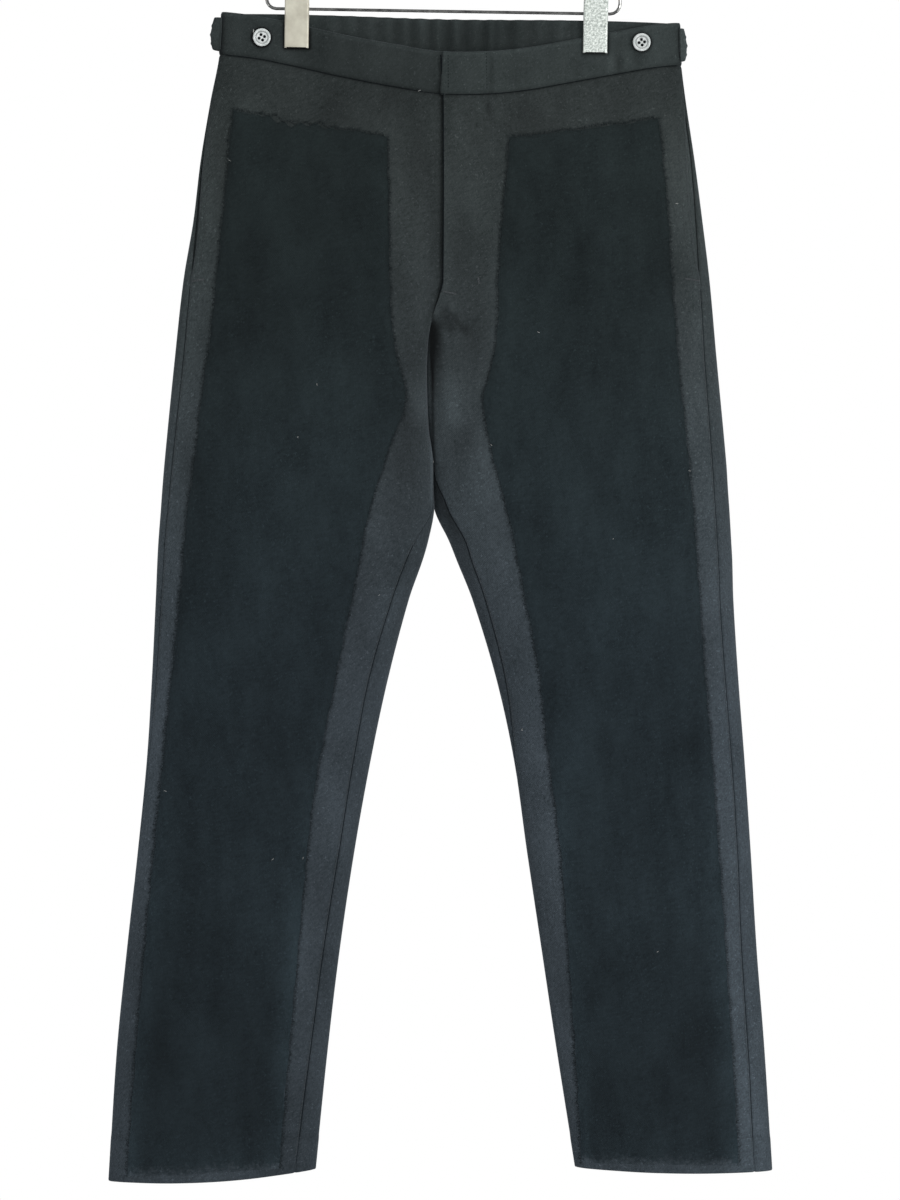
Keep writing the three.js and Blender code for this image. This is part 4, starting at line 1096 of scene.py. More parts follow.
def fork_tone(leg, x, drop):
    """The painted shadow and lit edge where the right leg's fold lies over the left leg, below the fly:
    bells of the distance from the centre line, eased in below the fly and out at the fork, and the
    painted shade of the valley and of the dimple beside it."""
    distance = (x - centre_x(drop)) * leg["side"]
    shown = rise(drop, FOLD["from"], FOLD["over"]) * smooth((FOLD["to"] - drop) / FOLD["over"])
    if leg["side"] < 0:
        lit = mark(distance - FOLD["in"], FOLD["lit"], FOLD["width"])
        return shown * (lit - mark(distance, FOLD["dark"], FOLD["line"]))
    hollow = rise(drop, *VALLEY["run"]) * smooth((VALLEY_END["at"] - drop) / VALLEY_END["over"])
    hollow = VALLEY["deep"] * hollow * bell(distance - VALLEY["in"], VALLEY["width"])
    way = math.radians(DIMPLE["slant"])
    across, down = x - DIMPLE["x"], drop - DIMPLE["drop"]
    along = across * math.cos(way) + down * math.sin(way)
    beside = across * math.sin(way) - down * math.cos(way)
    # The dimple's painted shade, a bell along and across its slant
    painted_dimple = DIMPLE["deep"] * bell(along, DIMPLE["length"]) * bell(beside, DIMPLE["width"])
    shade = bell(along - DIMPLE_SHADE["on"], DIMPLE_SHADE["length"]) * bell(beside, DIMPLE_SHADE["width"])
    line = VALLEY["dark"] * shown * bell(distance, VALLEY["line"])
    return -line - hollow - painted_dimple - DIMPLE_SHADE["deep"] * shade


# How deep and over what width a panel's edges turn down into its seams, and the doubled hem's ridge
SEAM_DIP = (0.8, 3)
HEM_RIDGE = {"doubled_over": 12, "height": 0.3, "above": 2, "over": 4}

# Painted shade on a leg panel, each mark a depth and a half width: in the seams' grooves, beside the
# inner seam on the left back and beside the fly's edge, with a darker line along the hem's stitching;
# then where the fly's raised edge and two of the marks end, and how much paler the cloth is painted on
# its ridges, and darker in its hollows, as painted light and shade
PANEL_MARKS = {
    "waist_seam": (-0.25, 2.2),
    "start_seam": (-0.1, 2),
    "end_seam": (-0.12, 2),
    "hem_stitch": (-0.16, 3),
    "centre_back": (-0.65, 13),
    "fly": (-0.42, 4.2),
}
FLY_EDGE_END = {"at": FLY_END + 6, "over": 12}
CENTRE_BACK_END = {"at": 530, "over": 90}
FLY_MARK_END = {"at": FLY_END + 60, "over": 30}
HEIGHT_TONE = 0.22


def leg_panel(leg, back):
    """A leg panel, with its creases, its edges turned down into the seams, the fly's lap, and the
    doubled hem. Its tone holds painted light over the leg, and painted shade in the seams' grooves, in
    the creases' hollows and under the fold at the fork."""
    name = f"{'back' if back else 'front'}_{leg['name']}"
    shares, down = grid("panel")
    levels = BAND_LEVEL + (HEM_NOMINAL - BAND_LEVEL) * down
    guess = panel_angles(leg, back, levels, shares)
    top = band_foot(guess, face_point(leg, guess, levels)[..., 0]) + SEAM_GAP / 2
    drop = bent_level(levels, BAND_LEVEL, top, hem_drop(leg, guess))
    angle = panel_angles(leg, back, drop, shares)
    base = face_point(leg, angle, drop)
    normal = panel_normal(leg, back, angle, drop)
    height = relief(leg, base, angle, drop)
    width = np.linalg.norm(np.diff(base, axis=1), axis=-1).sum(axis=1)[:, None]
    from_start, from_end, into = shares * width, (1 - shares) * width, np.maximum(0, drop - top)
    lapping = not back and leg["side"] > 0
    at_fly = smooth((FLY_EDGE_END["at"] - drop) / FLY_EDGE_END["over"]) if lapping else 0.0
    sides = fall(from_start, *SEAM_DIP) + (1 - at_fly) * fall(from_end, *SEAM_DIP)
    hem_top = HEM_NOMINAL - HEM_DEPTH
    doubled = smooth((drop - hem_top) / HEM_RIDGE["doubled_over"] + 1)
    hem_ridge = HEM_RIDGE["height"] * smooth((drop - hem_top + HEM_RIDGE["above"]) / HEM_RIDGE["over"])
    out = height + sides + fall(into, *SEAM_DIP) + hem_ridge
    if not back and leg["side"] < 0:
        lap_under(base, angle, drop, SINK["panel"])
    low = height - mix(CLOTH, HEM_CLOTH, doubled)
    made = cloth_piece(f"cloth_{name}", base, normal, out, low, MAIN, "main_cloth", name)
    # Painted light over the leg, and painted light and shade by the creases' height
    tone = cloth_tone(leg, drop, back, from_end if back else from_start) + HEIGHT_TONE * height
    tone = tone + mark(into, *PANEL_MARKS["waist_seam"])
    tone = tone + mark(drop - hem_top, *PANEL_MARKS["hem_stitch"])
    tone = tone + mark(from_start, *PANEL_MARKS["start_seam"])
    tone = tone + (1 - at_fly) * mark(from_end, *PANEL_MARKS["end_seam"])
    if not back:
        tone = tone + fork_tone(leg, base[..., 0], drop)
    if back and leg["side"] > 0:
        shown = smooth((CENTRE_BACK_END["at"] - drop) / CENTRE_BACK_END["over"])
        tone = tone + shown * mark(from_start, *PANEL_MARKS["centre_back"])
    if not back and leg["side"] < 0:
        shown = smooth((FLY_MARK_END["at"] - drop) / FLY_MARK_END["over"])
        tone = tone + shown * mark(np.maximum(0, centre_x(drop) - base[..., 0]), *PANEL_MARKS["fly"])
    add_value(made, "tone", np.clip(tone, -0.9, 1))
    return made


for side_name in ("right", "left"):
    for behind in (False, True):
        piece = leg_panel(LEGS[side_name], behind)


# Felt panels


def wobble(at, seed, size):
    """A raw edge's small waver: a sum of four sines of unlike wavelengths."""
    total = 0
    for k, wavelength in enumerate((41, 23, 13, 7.1)):
        total = total + np.sin(2 * math.pi * at / wavelength + seed * (k + 1.7)) / (k + 1.5)
    return size * total


# The stretch of the right panel's top edge that has torn and frayed, as shares of its width, the
# waver of all the raw edges, what stretch of the hem the felt's foot spans, and its thickness
TORN = {"from": 0.2, "to": 0.72, "over": 0.1, "size": 3.2}
TOP_WAVER = {"length": 140, "size": 0.7, "depth": 20, "at_hem": 0.4}
SIDE_WAVER = 0.5
FELT_HEM_SPAN = (0.12, 0.85)
FELT_FORM = {"thin": 0.15, "thick": 1.1, "over": 8, "lift": 0.2, "under": 0.14}

# How the felt wears away to the cloth under it: over its edge, over the last of its foot, and along the
# lower part of its sides; and the painted shadow line that lies just inside its upper edges
FELT_WEAR = {"slope": 0.2, "start": 1.1, "edge": 0.3, "edge_over": 2, "foot": 0.25, "foot_over": 18}
FELT_RUB = {"tone": 0.5, "width": 24, "run": (600, 260)}
FELT_LINE = {"tone": 0.12, "in": 1, "width": 1.6, "to": 940, "over": 120}


def felt_drop(name, level, share):
    """Levels bent to the felt's sloping, wavering top edge and to its bottom edge above the hem."""
    leg, (top_outer, top_inner) = LEGS[name], FELTS[name]["top"]
    outer, inner, sag = leg["hem"]
    bottom = HEM_NOMINAL - FELT_HEM_INSET
    edge = mix(top_outer, top_inner, share)
    hem = mix(outer, inner, mix(*FELT_HEM_SPAN, share)) + sag - FELT_HEM_INSET
    at_top = (edge - top_outer) * (1 - smooth((level - top_outer) / TOP_FADE))
    at_hem = (hem - bottom) * smooth((level - bottom + HEM_FADE) / HEM_FADE)
    waver = wobble(share * TOP_WAVER["length"], 0.6 + leg["side"], TOP_WAVER["size"])
    if name == "right":
        torn = rise(share, TORN["from"], TORN["over"]) * smooth((TORN["to"] - share) / TORN["over"])
        waver = waver + TORN["size"] * torn * (0.4 + np.sin(share * 41) * np.sin(share * 23 + 1))
    near_top = 1 - smooth((level - top_outer) / TOP_WAVER["depth"])
    near_hem = 1 - smooth((bottom - level) / TOP_WAVER["depth"])
    return level + at_top + at_hem + (near_top + TOP_WAVER["at_hem"] * near_hem) * waver


def felt_edges(name, drop):
    """The places in x of the felt's two side edges."""
    leg, rows = LEGS[name], FELTS[name]["rows"]
    outer = read(rows, "outer", drop) + wobble(drop, 1.0 + leg["side"], SIDE_WAVER)
    inner = read(rows, "inner", drop) + wobble(drop, 2.3 + leg["side"], SIDE_WAVER)
    return outer, inner


def felt_panel(name):
    """The felt over the front: the cloth's own points moved out, thin at its raw edges. It takes
    the cloth's colour at its foot, where its edge is worn away."""
    leg = LEGS[name]
    top = FELTS[name]["top"][0]
    bottom = HEM_NOMINAL - FELT_HEM_INSET
    shares, down = grid("felt")
    levels = top + (bottom - top) * down
    drop = felt_drop(name, levels, shares)
    edge_turns = [angle_of_x(leg, edge, drop) for edge in felt_edges(name, drop)]
    angle = mix(*edge_turns, shares)
    base = face_point(leg, angle, drop)
    normal = front_normal(leg, angle, drop)
    height = relief(leg, base, angle, drop)
    width = np.linalg.norm(np.diff(base, axis=1), axis=-1).sum(axis=1)[:, None]
    from_side = np.minimum(shares, 1 - shares) * width
    edge = np.minimum(from_side, np.minimum(levels - top, bottom - levels))
    thick = FELT_FORM["thin"] + FELT_FORM["thick"] * smooth(edge / FELT_FORM["over"])
    high, low = height + FELT_FORM["lift"] + thick, height + FELT_FORM["under"]
    node = f"overlay_{name}"
    made = cloth_piece(f"felt_{name}", base, normal, high, low, FELT, "overlay_cloth", node)
    from_foot = bottom - levels
    add_value(made, "edge", np.minimum(edge, FELT_WEAR["slope"] * from_foot - FELT_WEAR["start"]))
    worn_edge = FELT_WEAR["edge"] * smooth(1 - edge / FELT_WEAR["edge_over"])
    worn_foot = FELT_WEAR["foot"] * smooth(1 - from_foot / FELT_WEAR["foot_over"])
    worn = np.maximum(worn_edge, worn_foot)
    # Worn to the cloth's tone at its edges and foot, with painted light on its ridges and shade in its
    # hollows
    tone = mix(felt_tone(name, drop), cloth_tone(leg, drop, False), worn) + 0.1 * height
    # The painted shadow line just inside the felt's upper edges
    line = smooth((FELT_LINE["to"] - drop) / FELT_LINE["over"])
    tone = tone - FELT_LINE["tone"] * line * bell(edge - FELT_LINE["in"], FELT_LINE["width"])
    rub_and_sheen = smooth(1 - from_side / FELT_RUB["width"]) * rise(drop, *FELT_RUB["run"])
    add_value(made, "tone", tone + FELT_RUB["tone"] * rub_and_sheen)
    return made


for side_name in ("right", "left"):
    piece = felt_panel(side_name)


# The clips' sizes and places, which the waistband's tone also needs
CLIP = {"width": 21.9, "plate": 0.9, "tilt": math.radians(0.93), "bar_z": -140, "bend": 0.9, "top": 26}
CLIPS = {
    "right": {"x": -133.7, "lip": 28, "material": CLIP_WARM},
    "left": {"x": 135, "lip": 32.5, "material": CLIP_COOL},
}

# A jaw is one bent plate. Its side view is a row for each bend, measured up from the bar: how far it
# stands from the bar's plane, and how deep its turned sides reach back from its face.
JAW = table(
    "up stand side",
    (-34, 4.0, 2.1),
    (-24, 4.0, 2.1),
    (-14, 4.1, 2.3),
    (-8, 5.2, 5.0),
    (-4, 6.9, 9.5),
    (0, 7.4, 10.6),
    (4, 7.2, 9.6),
    (8, 8.2, 5.4),
    (14, 10.6, 2.4),
    (26, 14.0, 1.6),
)

# The foot of a jaw's face, a little shorter than its turned sides, and how much narrower a back jaw is
JAW_FOOT = {"height": 0.6, "in": 1.6, "over": 0.8, "up": 3}
BACK_JAW_IN = 1.4


# Waistband

# Small puckers of the front band: place, drop below its top edge, half sizes and height
PUCKERS = table(
    "x down wide tall height",
    (147, 26, 4, 9, 1.1),
    (155, 28, 3, 8, -1.0),
    (163, 27, 4, 9, 0.8),
    (172, 29, 3, 7, -0.5),
    (-148, 28, 6, 9, 0.6),
    (-120, 27, 6, 9, -0.5),
    (40.5, 20, 2.2, 22, -0.7),
    (34, 18, 5, 20, 0.4),
    (120, 25, 6, 9, -0.5),
    (-60, 20, 14, 16, 0.4),
    (70, 20, 16, 16, -0.4),
    (190, 20, 8, 20, 0.5),
    (-186, 20, 7, 20, 0.5),
)


def band_ripples(x, down):
    """The sum of puckers, each a bell in x and in the drop below the band's top edge."""
    total = np.zeros(np.broadcast(x, down).shape)
    for k in range(len(PUCKERS["x"])):
        place, below, wide, tall, height = (PUCKERS[name][k] for name in PUCKERS)
        total += height * bell(x - place, wide) * bell(down - below, tall)
    return total


# How far the upper corner of the band's fly end leans out, and over what width
TAB_LEAN = 2.4
TAB_WIDTH = 36

# How deep and over what width the bands' edges turn down
BAND_DIPS = {"front": ((1.1, 3), (0.5, 2)), "back": ((0.8, 3), (0.4, 2))}
# Painted light: the left band, which the key light faces, paler than the right; and painted light and shade
# by ripple height
BAND_TONE = {"right": -0.06, "left": 0.28}
RIPPLE_TONE = {"share": 0.35, "low": -1.5, "high": 1}

# Marks on the bands, each a tone and a half width: painted shade along the seam at the foot and a paler
# line along the top edge, painted shadow beside the clips with how far below them, round the buttons,
# at the side fold and beside the fly's end, and inside the back painted shade in the gathers' hollows
# and a paler line along its top edge
FOOT_MARK, TOP_MARK, TOP_MARK_IN = (-0.22, 2.4), (0.2, 1.2), 1.4
CLIP_MARK, BELOW_CLIP = (-0.95, 2.0), 2.2
RIM_MARK = (-0.95, 1.6)
FOLD_MARK, FOLD_MARK_IN = (-0.4, 2.6), 1.5
FLY_MARK = (-0.5, 3.2)
INSIDE_TONE = {"base": 0.06, "gathers": -0.18, "edge": 0.15, "width": 1.5}


def band_tone(height, from_top, from_foot):
    """Painted shade in the hollows of ripples and along the seam below, and paler along the top edge."""
    ripples = RIPPLE_TONE["share"] * np.clip(height, RIPPLE_TONE["low"], RIPPLE_TONE["high"])
    return ripples + mark(from_foot, *FOOT_MARK) + mark(from_top - TOP_MARK_IN, *TOP_MARK)


def band_form(foot, heights, dips):
    """A band's drops between its top edge and the seam at its foot, the ways from both edges, and
    how far it turns down at them."""
    drop = foot - BAND_HEIGHT + (BAND_HEIGHT - SEAM_GAP / 2) * heights
    from_foot, from_top = (1 - heights) * BAND_HEIGHT, heights * BAND_HEIGHT
    return drop, from_foot, from_top, fall(from_foot, *dips[0]) + fall(from_top, *dips[1])


def clip_and_button_shade(name, x, drop):
    """The painted shade beside the clip and round the button where they press on the band: narrow bells of
    the distance outside the clip's plate, and outside the button's rim."""
    clip, place = CLIPS[name], BUTTONS[name]
    beside = np.maximum(np.abs(x - clip["x"]) - CLIP["width"] / 2, 0)
    below = np.maximum(drop - clip["lip"], 0)
    from_rim = np.hypot(x - place["x"], drop - place["drop"]) - BUTTON["radius"]
    by_clip = mark(beside, *CLIP_MARK) * bell(below, BELOW_CLIP)
    return by_clip + mark(np.maximum(from_rim, 0), *RIM_MARK)


def front_band(leg):
    """A front half of the waistband, which dips to the centre. The right one runs on behind the left
    one, whose fly end leans out at its upper corner."""
    shares, heights = grid("front_band")
    level = np.array(float(BAND_LEVEL))
    foot = front_seam(face_point(leg, panel_angles(leg, False, level, shares), level)[..., 0])
    drop, from_foot, from_top, edges = band_form(foot, heights, BAND_DIPS["front"])
    angle = panel_angles(leg, False, drop, shares)
    base = face_point(leg, angle, drop)
    normal = panel_normal(leg, False, angle, drop)
    ripple = band_ripples(base[..., 0], from_top)
    height = relief(leg, base, angle, drop) + ripple
    x = base[..., 0].copy()
    if leg["side"] < 0:
        lap_under(base, angle, drop, SINK["band"])
    else:
        base[..., 0] -= TAB_LEAN * heights * smooth(1 - (x - centre_x(drop)) / TAB_WIDTH)
    name, node = f"band_front_{leg['name']}", f"waistband_front_{leg['name']}"
    high, low = BAND_PROUD + height + edges, height - BAND_SUNK
    made = cloth_piece(name, base, normal, high, low, BAND, "waistband_cloth", node)
    # Painted light by side, painted shade in the ripples and the seam, and painted shadow by clip, button,
    # fold and lap
    tone = BAND_TONE[leg["name"]] + band_tone(ripple, from_top, from_foot)
    tone = tone + clip_and_button_shade(leg["name"], x, drop)
    tone = tone + mark(np.abs(x - outer_x(leg, drop)) - FOLD_MARK_IN, *FOLD_MARK)
    if leg["side"] < 0:
        tone = tone + mark(np.maximum(0, centre_x(drop) - x - TAB_LEAN * heights), *FLY_MARK)
    add_value(made, "tone", np.clip(tone, -0.92, 1))
    return made


# Gathers of the back band: the place of each ridge's or hollow's middle, its half width and height
GATHERS = table(
    "x width height",
    (-112, 5, 0.7),
    (-103, 5, -0.8),
    (-94, 4.5, 0.9),
    (-85, 4, -1.0),
    (-77, 4.5, 0.8),
    (-68, 4, -0.9),
    (-60, 4, 1.0),
    (-52, 3.5, -1.2),
    (-45, 3.5, 1.2),
    (-37, 3, -1.5),
    (-30.5, 3, 1.4),
    (-22.5, 3, -1.6),
    (-14.4, 3, 1.7),
    (-7, 3, -1.7),
    (1, 3.4, 1.5),
    (9, 3, -1.9),
    (17, 4, 1.3),
    (26, 4, -1.0),
    (34, 3.2, 1.3),
    (40.5, 2.8, -1.5),
    (49.5, 3.4, -1.2),
    (58, 4, 1.0),
    (67, 4, -0.9),
    (76, 4.5, 0.9),
    (86, 4.5, -0.9),
    (95, 5, 0.8),
    (104, 5, -0.7),
    (112, 5, 0.6),
)
GATHERED_HALF = 119.0

# The share of the gathers' depth at the band's top and foot, and how far out and how fast they end
DRAWN = {"top": 0.95, "foot": 0.25, "to": 125, "over": 20}


def gather(x):
    """Depth of the gathers across the back band: the sum of bells."""
    return sum(
        height * bell(x - place, width)
        for place, width, height in zip(GATHERS["x"], GATHERS["width"], GATHERS["height"])
    )


# The back band's columns round the side as shares of the way, its columns of a half, and its rows
ROUND_SIDE = np.concatenate([[0, 0.004, 0.012], np.linspace(0.03, 1, 24)])[None, :]
BACK_COLUMNS = 150
BACK_ROWS = (21, 0.012, 0.04)


def back_band_turns(leg, xs, drop):
    """The turns of half the back band's columns: the first run round the side, the rest follow x."""
    seam = outseam_angle(leg, drop[:, : ROUND_SIDE.size])
    middle = angle_of_x(leg, xs, drop[:, ROUND_SIDE.size :])
    return 2 * math.pi - np.concatenate([mix(-seam, BAND_SIDE_TURN, ROUND_SIDE), middle], axis=1)


def back_band():
    """The back waistband in one piece: each side's columns follow the turn round the side, and the
    middle's follow x."""
    heights = near_ends(*BACK_ROWS)[:, None]
    level = np.array(float(BAND_LEVEL))
    halves = []
    for leg in (LEGS["right"], LEGS["left"]):
        middle = centre_x(level) + leg["side"] * 0.4
        xs = np.linspace(leg["side"] * GATHERED_HALF, middle, BACK_COLUMNS)[None, :]
        guess = back_band_turns(leg, xs, np.full((1, ROUND_SIDE.size + BACK_COLUMNS), level))
        foot = band_foot(guess, face_point(leg, guess, level)[..., 0])
        drop, from_foot, from_top, edges = band_form(foot, heights, BAND_DIPS["back"])
        angle = back_band_turns(leg, xs, drop)
        half = np.stack([face_point(leg, angle, drop), panel_normal(leg, True, angle, drop)])
        halves.append(half if leg["side"] < 0 else half[:, :, ::-1])
    base, normal = np.concatenate(halves, axis=2)
    x = base[..., 0]
    drawn = gather(x) * mix(DRAWN["top"], DRAWN["foot"], heights)
    drawn = drawn * smooth((DRAWN["to"] - np.abs(x)) / DRAWN["over"])
    high, low = BAND_PROUD + drawn + edges, drawn - BAND_SUNK
    made = cloth_piece("band_back", base, normal, high, low, BAND, "waistband_cloth", "waistband_back")
    # Inside the back band: painted shade in the gathers' hollows, and a paler line along the top edge
    inside = INSIDE_TONE["base"] + INSIDE_TONE["gathers"] * drawn
    inside = inside + mark(from_top - INSIDE_TONE["width"], INSIDE_TONE["edge"], INSIDE_TONE["width"])
    add_value(made, "tone", np.stack([band_tone(0.5 * drawn, from_top, from_foot), inside]))
    return made


for side_name in ("right", "left"):
    piece = front_band(LEGS[side_name])
piece = back_band()


# Small cloth pieces


# Painted light on the facings: the left one, which the key light faces, paler than the right
FACING_TONE = {"right": -0.1, "left": 0.3}


def facing(name):
    """The strip that shows in a pocket's mouth."""
    leg = LEGS[name]
    drop = np.linspace(FACING["top"], FACING["bottom"], 60)[:, None]
    seam = np.maximum(outseam_angle(leg, drop), 0.02)
    reach = read(leg["rows"], "outseam", drop) + FACING["under"]
    angle = mix(seam, edge_angle(leg, reach, drop), np.linspace(0, 1, 12)[None, :])
    base = face_point(leg, angle, drop)
    normal = front_normal(leg, angle, drop)
    high, low = -FACING["sunk"], -FACING["sunk"] - FACING["cloth"]
    node = f"pocket_facing_{name}"
    made = cloth_piece(f"facing_{name}", base, normal, high, low, MAIN, "main_cloth", node)
    add_value(made, "tone", np.full(angle.shape, FACING_TONE[name]))
    return made


def shield():
    """The strip behind the fly."""
    drop = np.linspace(SHIELD["top"], SHIELD["bottom"], 60)[:, None]
    xs = np.linspace(SHIELD["start"], SHIELD["end"], 36)[None, :]
    halves = []
    for name in ("right", "left"):
        leg = LEGS[name]
        angle = angle_of_x(leg, xs + 0 * drop, drop)
        halves.append((face_point(leg, angle, drop), front_normal(leg, angle, drop)))
    on_right = (xs < centre_x(drop))[..., None]
    base, normal = (np.where(on_right, a, b) for a, b in zip(*halves))
    high, low = -SHIELD["sunk"], -SHIELD["sunk"] - SHIELD["cloth"]
    return cloth_piece("fly_shield_cloth", base, normal, high, low, MAIN, "main_cloth", "fly_shield")


# The turns that a strap's normals are read between, how it turns down at its edges, and the waves
# across its loop: each a height, how fast it goes, where it starts and how it turns along the strap.
# Then the loop's rounded back.
STRAP_TURNS = (-1.5, 1.5)
STRAP_DIP = (0.5, 2)
SCALLOPS = ((0.32, 21, 1, 0), (0.16, 43, 0, 4))
LOOP_BACK = {"height": 1.6, "at": 0.05, "width": 0.35, "level": 0.8}
# Strap tone: a paler base, the band's painted light by side, painted light on the loop, and painted light and
# shade over the scallops
STRAP_TONE = {"base": 0.3, "side": 1.6, "loop": 0.3, "scallops": 0.3}


def strap(name):
    """An adjuster strap: out from the side fold in a slack loop, then flat to the back. Its slack
    is an ease of the turn, and low waves across its width make the loop uneven."""
    leg, sizes = LEGS[name], STRAPS[name]
    level = np.array(float(STRAP["level"]))
    back_turn = -angle_of_x(leg, np.array(float(sizes["back_end"])), level)
    shares, down = grid("strap")
    angle, heights = mix(STRAP["front"], back_turn, shares), down - 0.5
    x = face_point(leg, angle, level)[..., 0]
    drop = band_foot(angle, x) - BAND_HEIGHT / 2 + STRAP["height"] * heights
    base = face_point(leg, angle, drop)
    normal = face_normal(leg, angle, drop, *STRAP_TURNS)
    loop = smooth(1 - angle / STRAP["front"]) * smooth(1 - np.abs(angle) / STRAP["slack_to"])
    slack = sizes["bulge"] * loop * (1 - 0.5 * heights**2)
    scallops = sum(size * np.sin(heights * fast + at + angle * turn) for size, fast, at, turn in SCALLOPS)
    rounded = bell(heights - LOOP_BACK["at"], LOOP_BACK["width"]) - LOOP_BACK["level"]
    scallops = loop * (scallops + LOOP_BACK["height"] * rounded)
    from_edge = (0.5 - np.abs(heights)) * STRAP["height"]
    lift = STRAP["lift"] + slack + scallops
    high, node = lift + STRAP["cloth"] + fall(from_edge, *STRAP_DIP), f"adjuster_strap_{name}"
    made = cloth_piece(f"strap_{name}", base, normal, high, lift, BAND, "waistband_cloth", node)
    tone = STRAP_TONE["base"] + STRAP_TONE["side"] * BAND_TONE[name]
    tone = tone + STRAP_TONE["scallops"] * scallops + STRAP_TONE["loop"] * loop
    add_value(made, "tone", np.clip(tone, -0.8, 0.9))
    return made


for side_name in ("right", "left"):
    piece = facing(side_name)
    piece = strap(side_name)
piece = shield()


# Buttons


def button_frame(name):
    """Where a button lies on the band: its centre, and the ways right, up and out from it."""
    place, leg = BUTTONS[name], LEGS[name]
    x, drop = np.array(float(place["x"])), np.array(float(place["drop"]))
    angle = angle_of_x(leg, x, drop)
    out = face_normal(leg, angle, drop, 0.0, math.pi)
    right = unit(np.cross([0.0, 0.0, 1.0], out))
    return face_point(leg, angle, drop) + out * BUTTON["lift"], right, np.cross(out, right), out


def button_holes(name):
    """The four holes' places across a button, as columns of x and y."""
    turns = np.radians(BUTTONS[name]["turn"] + 90 * np.arange(4))
    return BUTTON["hole_circle"] * np.stack([np.sin(turns), np.cos(turns)])


def button(name):
    """A four-hole button as rings of points: a raised round rim about a shallow dish, with a steep
    pit for each hole, then down its side to its back."""
    centre, right, up, out = button_frame(name)
    radius, thick, dish = BUTTON["radius"], BUTTON["thick"], BUTTON["dish"]
    face = radius - BUTTON_FACE["edge"]
    ring = np.concatenate([np.linspace(0, face, 56), face + np.linspace(0.1, BUTTON_FACE["edge"], 8)])
    turns = np.linspace(0, 2 * math.pi, 129)[:-1]
    r, t = np.meshgrid(ring, turns, indexing="ij")
    rim = np.sqrt(np.clip(1 - ((r - BUTTON_FACE["rim_at"]) / BUTTON_FACE["rim_half"]) ** 2, 0, 1))
    height = thick - BUTTON_FACE["below"] + BUTTON_FACE["rim"] * rim
    height = height - BUTTON_FACE["dished"] * np.cos(np.minimum(r / dish, 1) * math.pi / 2)
    height = height - GROOVE["deep"] * bell(r - dish, GROOVE["width"])
    holes = button_holes(name)
    nearest = np.hypot(*(np.stack([r * np.cos(t), r * np.sin(t)])[..., None] - holes[:, None, None])).min(-1)
    pit = 1 - rise(nearest, BUTTON["hole"] - PIT["in"], PIT["over"])
    height = height - PIT["deep"] * pit
    side_turn = np.linspace(0, 1, 6)[1:, None] + 0 * turns
    side_r = radius - BUTTON_BACK["bulge"] * (1 - np.cos(side_turn * math.pi))
    side_h = mix(height[-1].mean(), BUTTON_BACK["up"], side_turn)
    side_r[-1], side_h[-1] = radius - BUTTON_BACK["in"], 0
    all_r, all_h = np.concatenate([r, side_r])[..., None], np.concatenate([height, side_h])[..., None]
    all_t = np.broadcast_to(turns, all_r.shape[:2])[..., None]
    points = centre + right * all_r * np.cos(all_t) + up * all_r * np.sin(all_t) + out * all_h
    index = np.arange(all_r.size).reshape(all_r.shape[:2])
    turned = np.roll(index, -1, axis=1)
    quads = np.stack([index[:-1], index[1:], turned[1:], turned[:-1]], -1).reshape(-1, 4)
    made = make_object(f"button_disc_{name}", points.reshape(-1, 3), [quads, index[-1][None, ::-1]])
    # Painted shade in the holes' pits and in the groove about the dish
    dark = GROOVE["dark"] * bell(r - dish, GROOVE["dark_width"])
    add_value(made, "painted_shade", np.clip(pit + dark, 0, 1))
    finish_piece(made, BUTTON_HORN, "button", f"button_{name}")


def button_thread(name):
    """The ends of the sewing thread, which lie low in the four holes."""
    centre, right, up, out = button_frame(name)
    across, along = button_holes(name)
    down = np.linspace(BUTTON_THREAD["low"], BUTTON["thick"] - BUTTON_THREAD["below"], 5)
    strands = centre + right * across[:, None, None] + up * along[:, None, None] + out * down[None, :, None]
    part = tubes(strands, np.broadcast_to(right, strands.shape), BUTTON_THREAD["radius"], 8)
    finish_piece(join(f"button_thread_{name}", [part]), DARK_THREAD_AND_SHADE, "button")


for side_name in ("right", "left"):
    button(side_name)
    button_thread(side_name)


# Sewing


def front_path(name, xs, drops, out=0.1, step=0.7):
    """A path over the front cloth through places in x and drop, as points and normals."""
    xs, drops = np.asarray(xs, float), np.asarray(drops, float)
    length = np.concatenate([[0], np.cumsum(np.hypot(np.diff(xs), np.diff(drops)))])
    at = np.arange(0, length[-1], step)
    return on_front(LEGS[name], np.interp(at, length, xs), np.interp(at, length, drops), out)


def side_path(name, inset, top, foot, inner=False, out=0.1):
    """A path beside the side seam, past the pocket's gape, or beside the inner seam."""
    leg = LEGS[name]
    drops = np.arange(top, foot, 3.0)
    if inner:
        xs = inner_x(leg, drops) + leg["side"] * (read(leg["rows"], "inseam", drops) + inset)
    else:
        mouth = read(leg["rows"], "outseam", drops) + read(POCKETS[name], "gape", drops)
        xs = outer_x(leg, drops) - leg["side"] * (mouth + inset)
    return front_path(name, xs, drops, out)


FLY_LINE = ([42, 43, 43.5, 42.5, 38, 29, 17, 4], [74, 120, 170, 205, 228, 243, 250, 252])


def stitches(name, material, runs):
    """One mesh of every stitch in several runs, each a path and how it is sewn."""
    parts = []
    for (path, normals), how in runs:
        strands, up = stitched(path, normals, **how)
        parts.append(tubes(strands, up, STITCH_RADII[name]))
    finish_piece(join(name, parts), material, "main_cloth")


TOPSTITCHES = {"length": 2.2, "gap": 0.8, "lift": 0.2, "sink": 0.02}

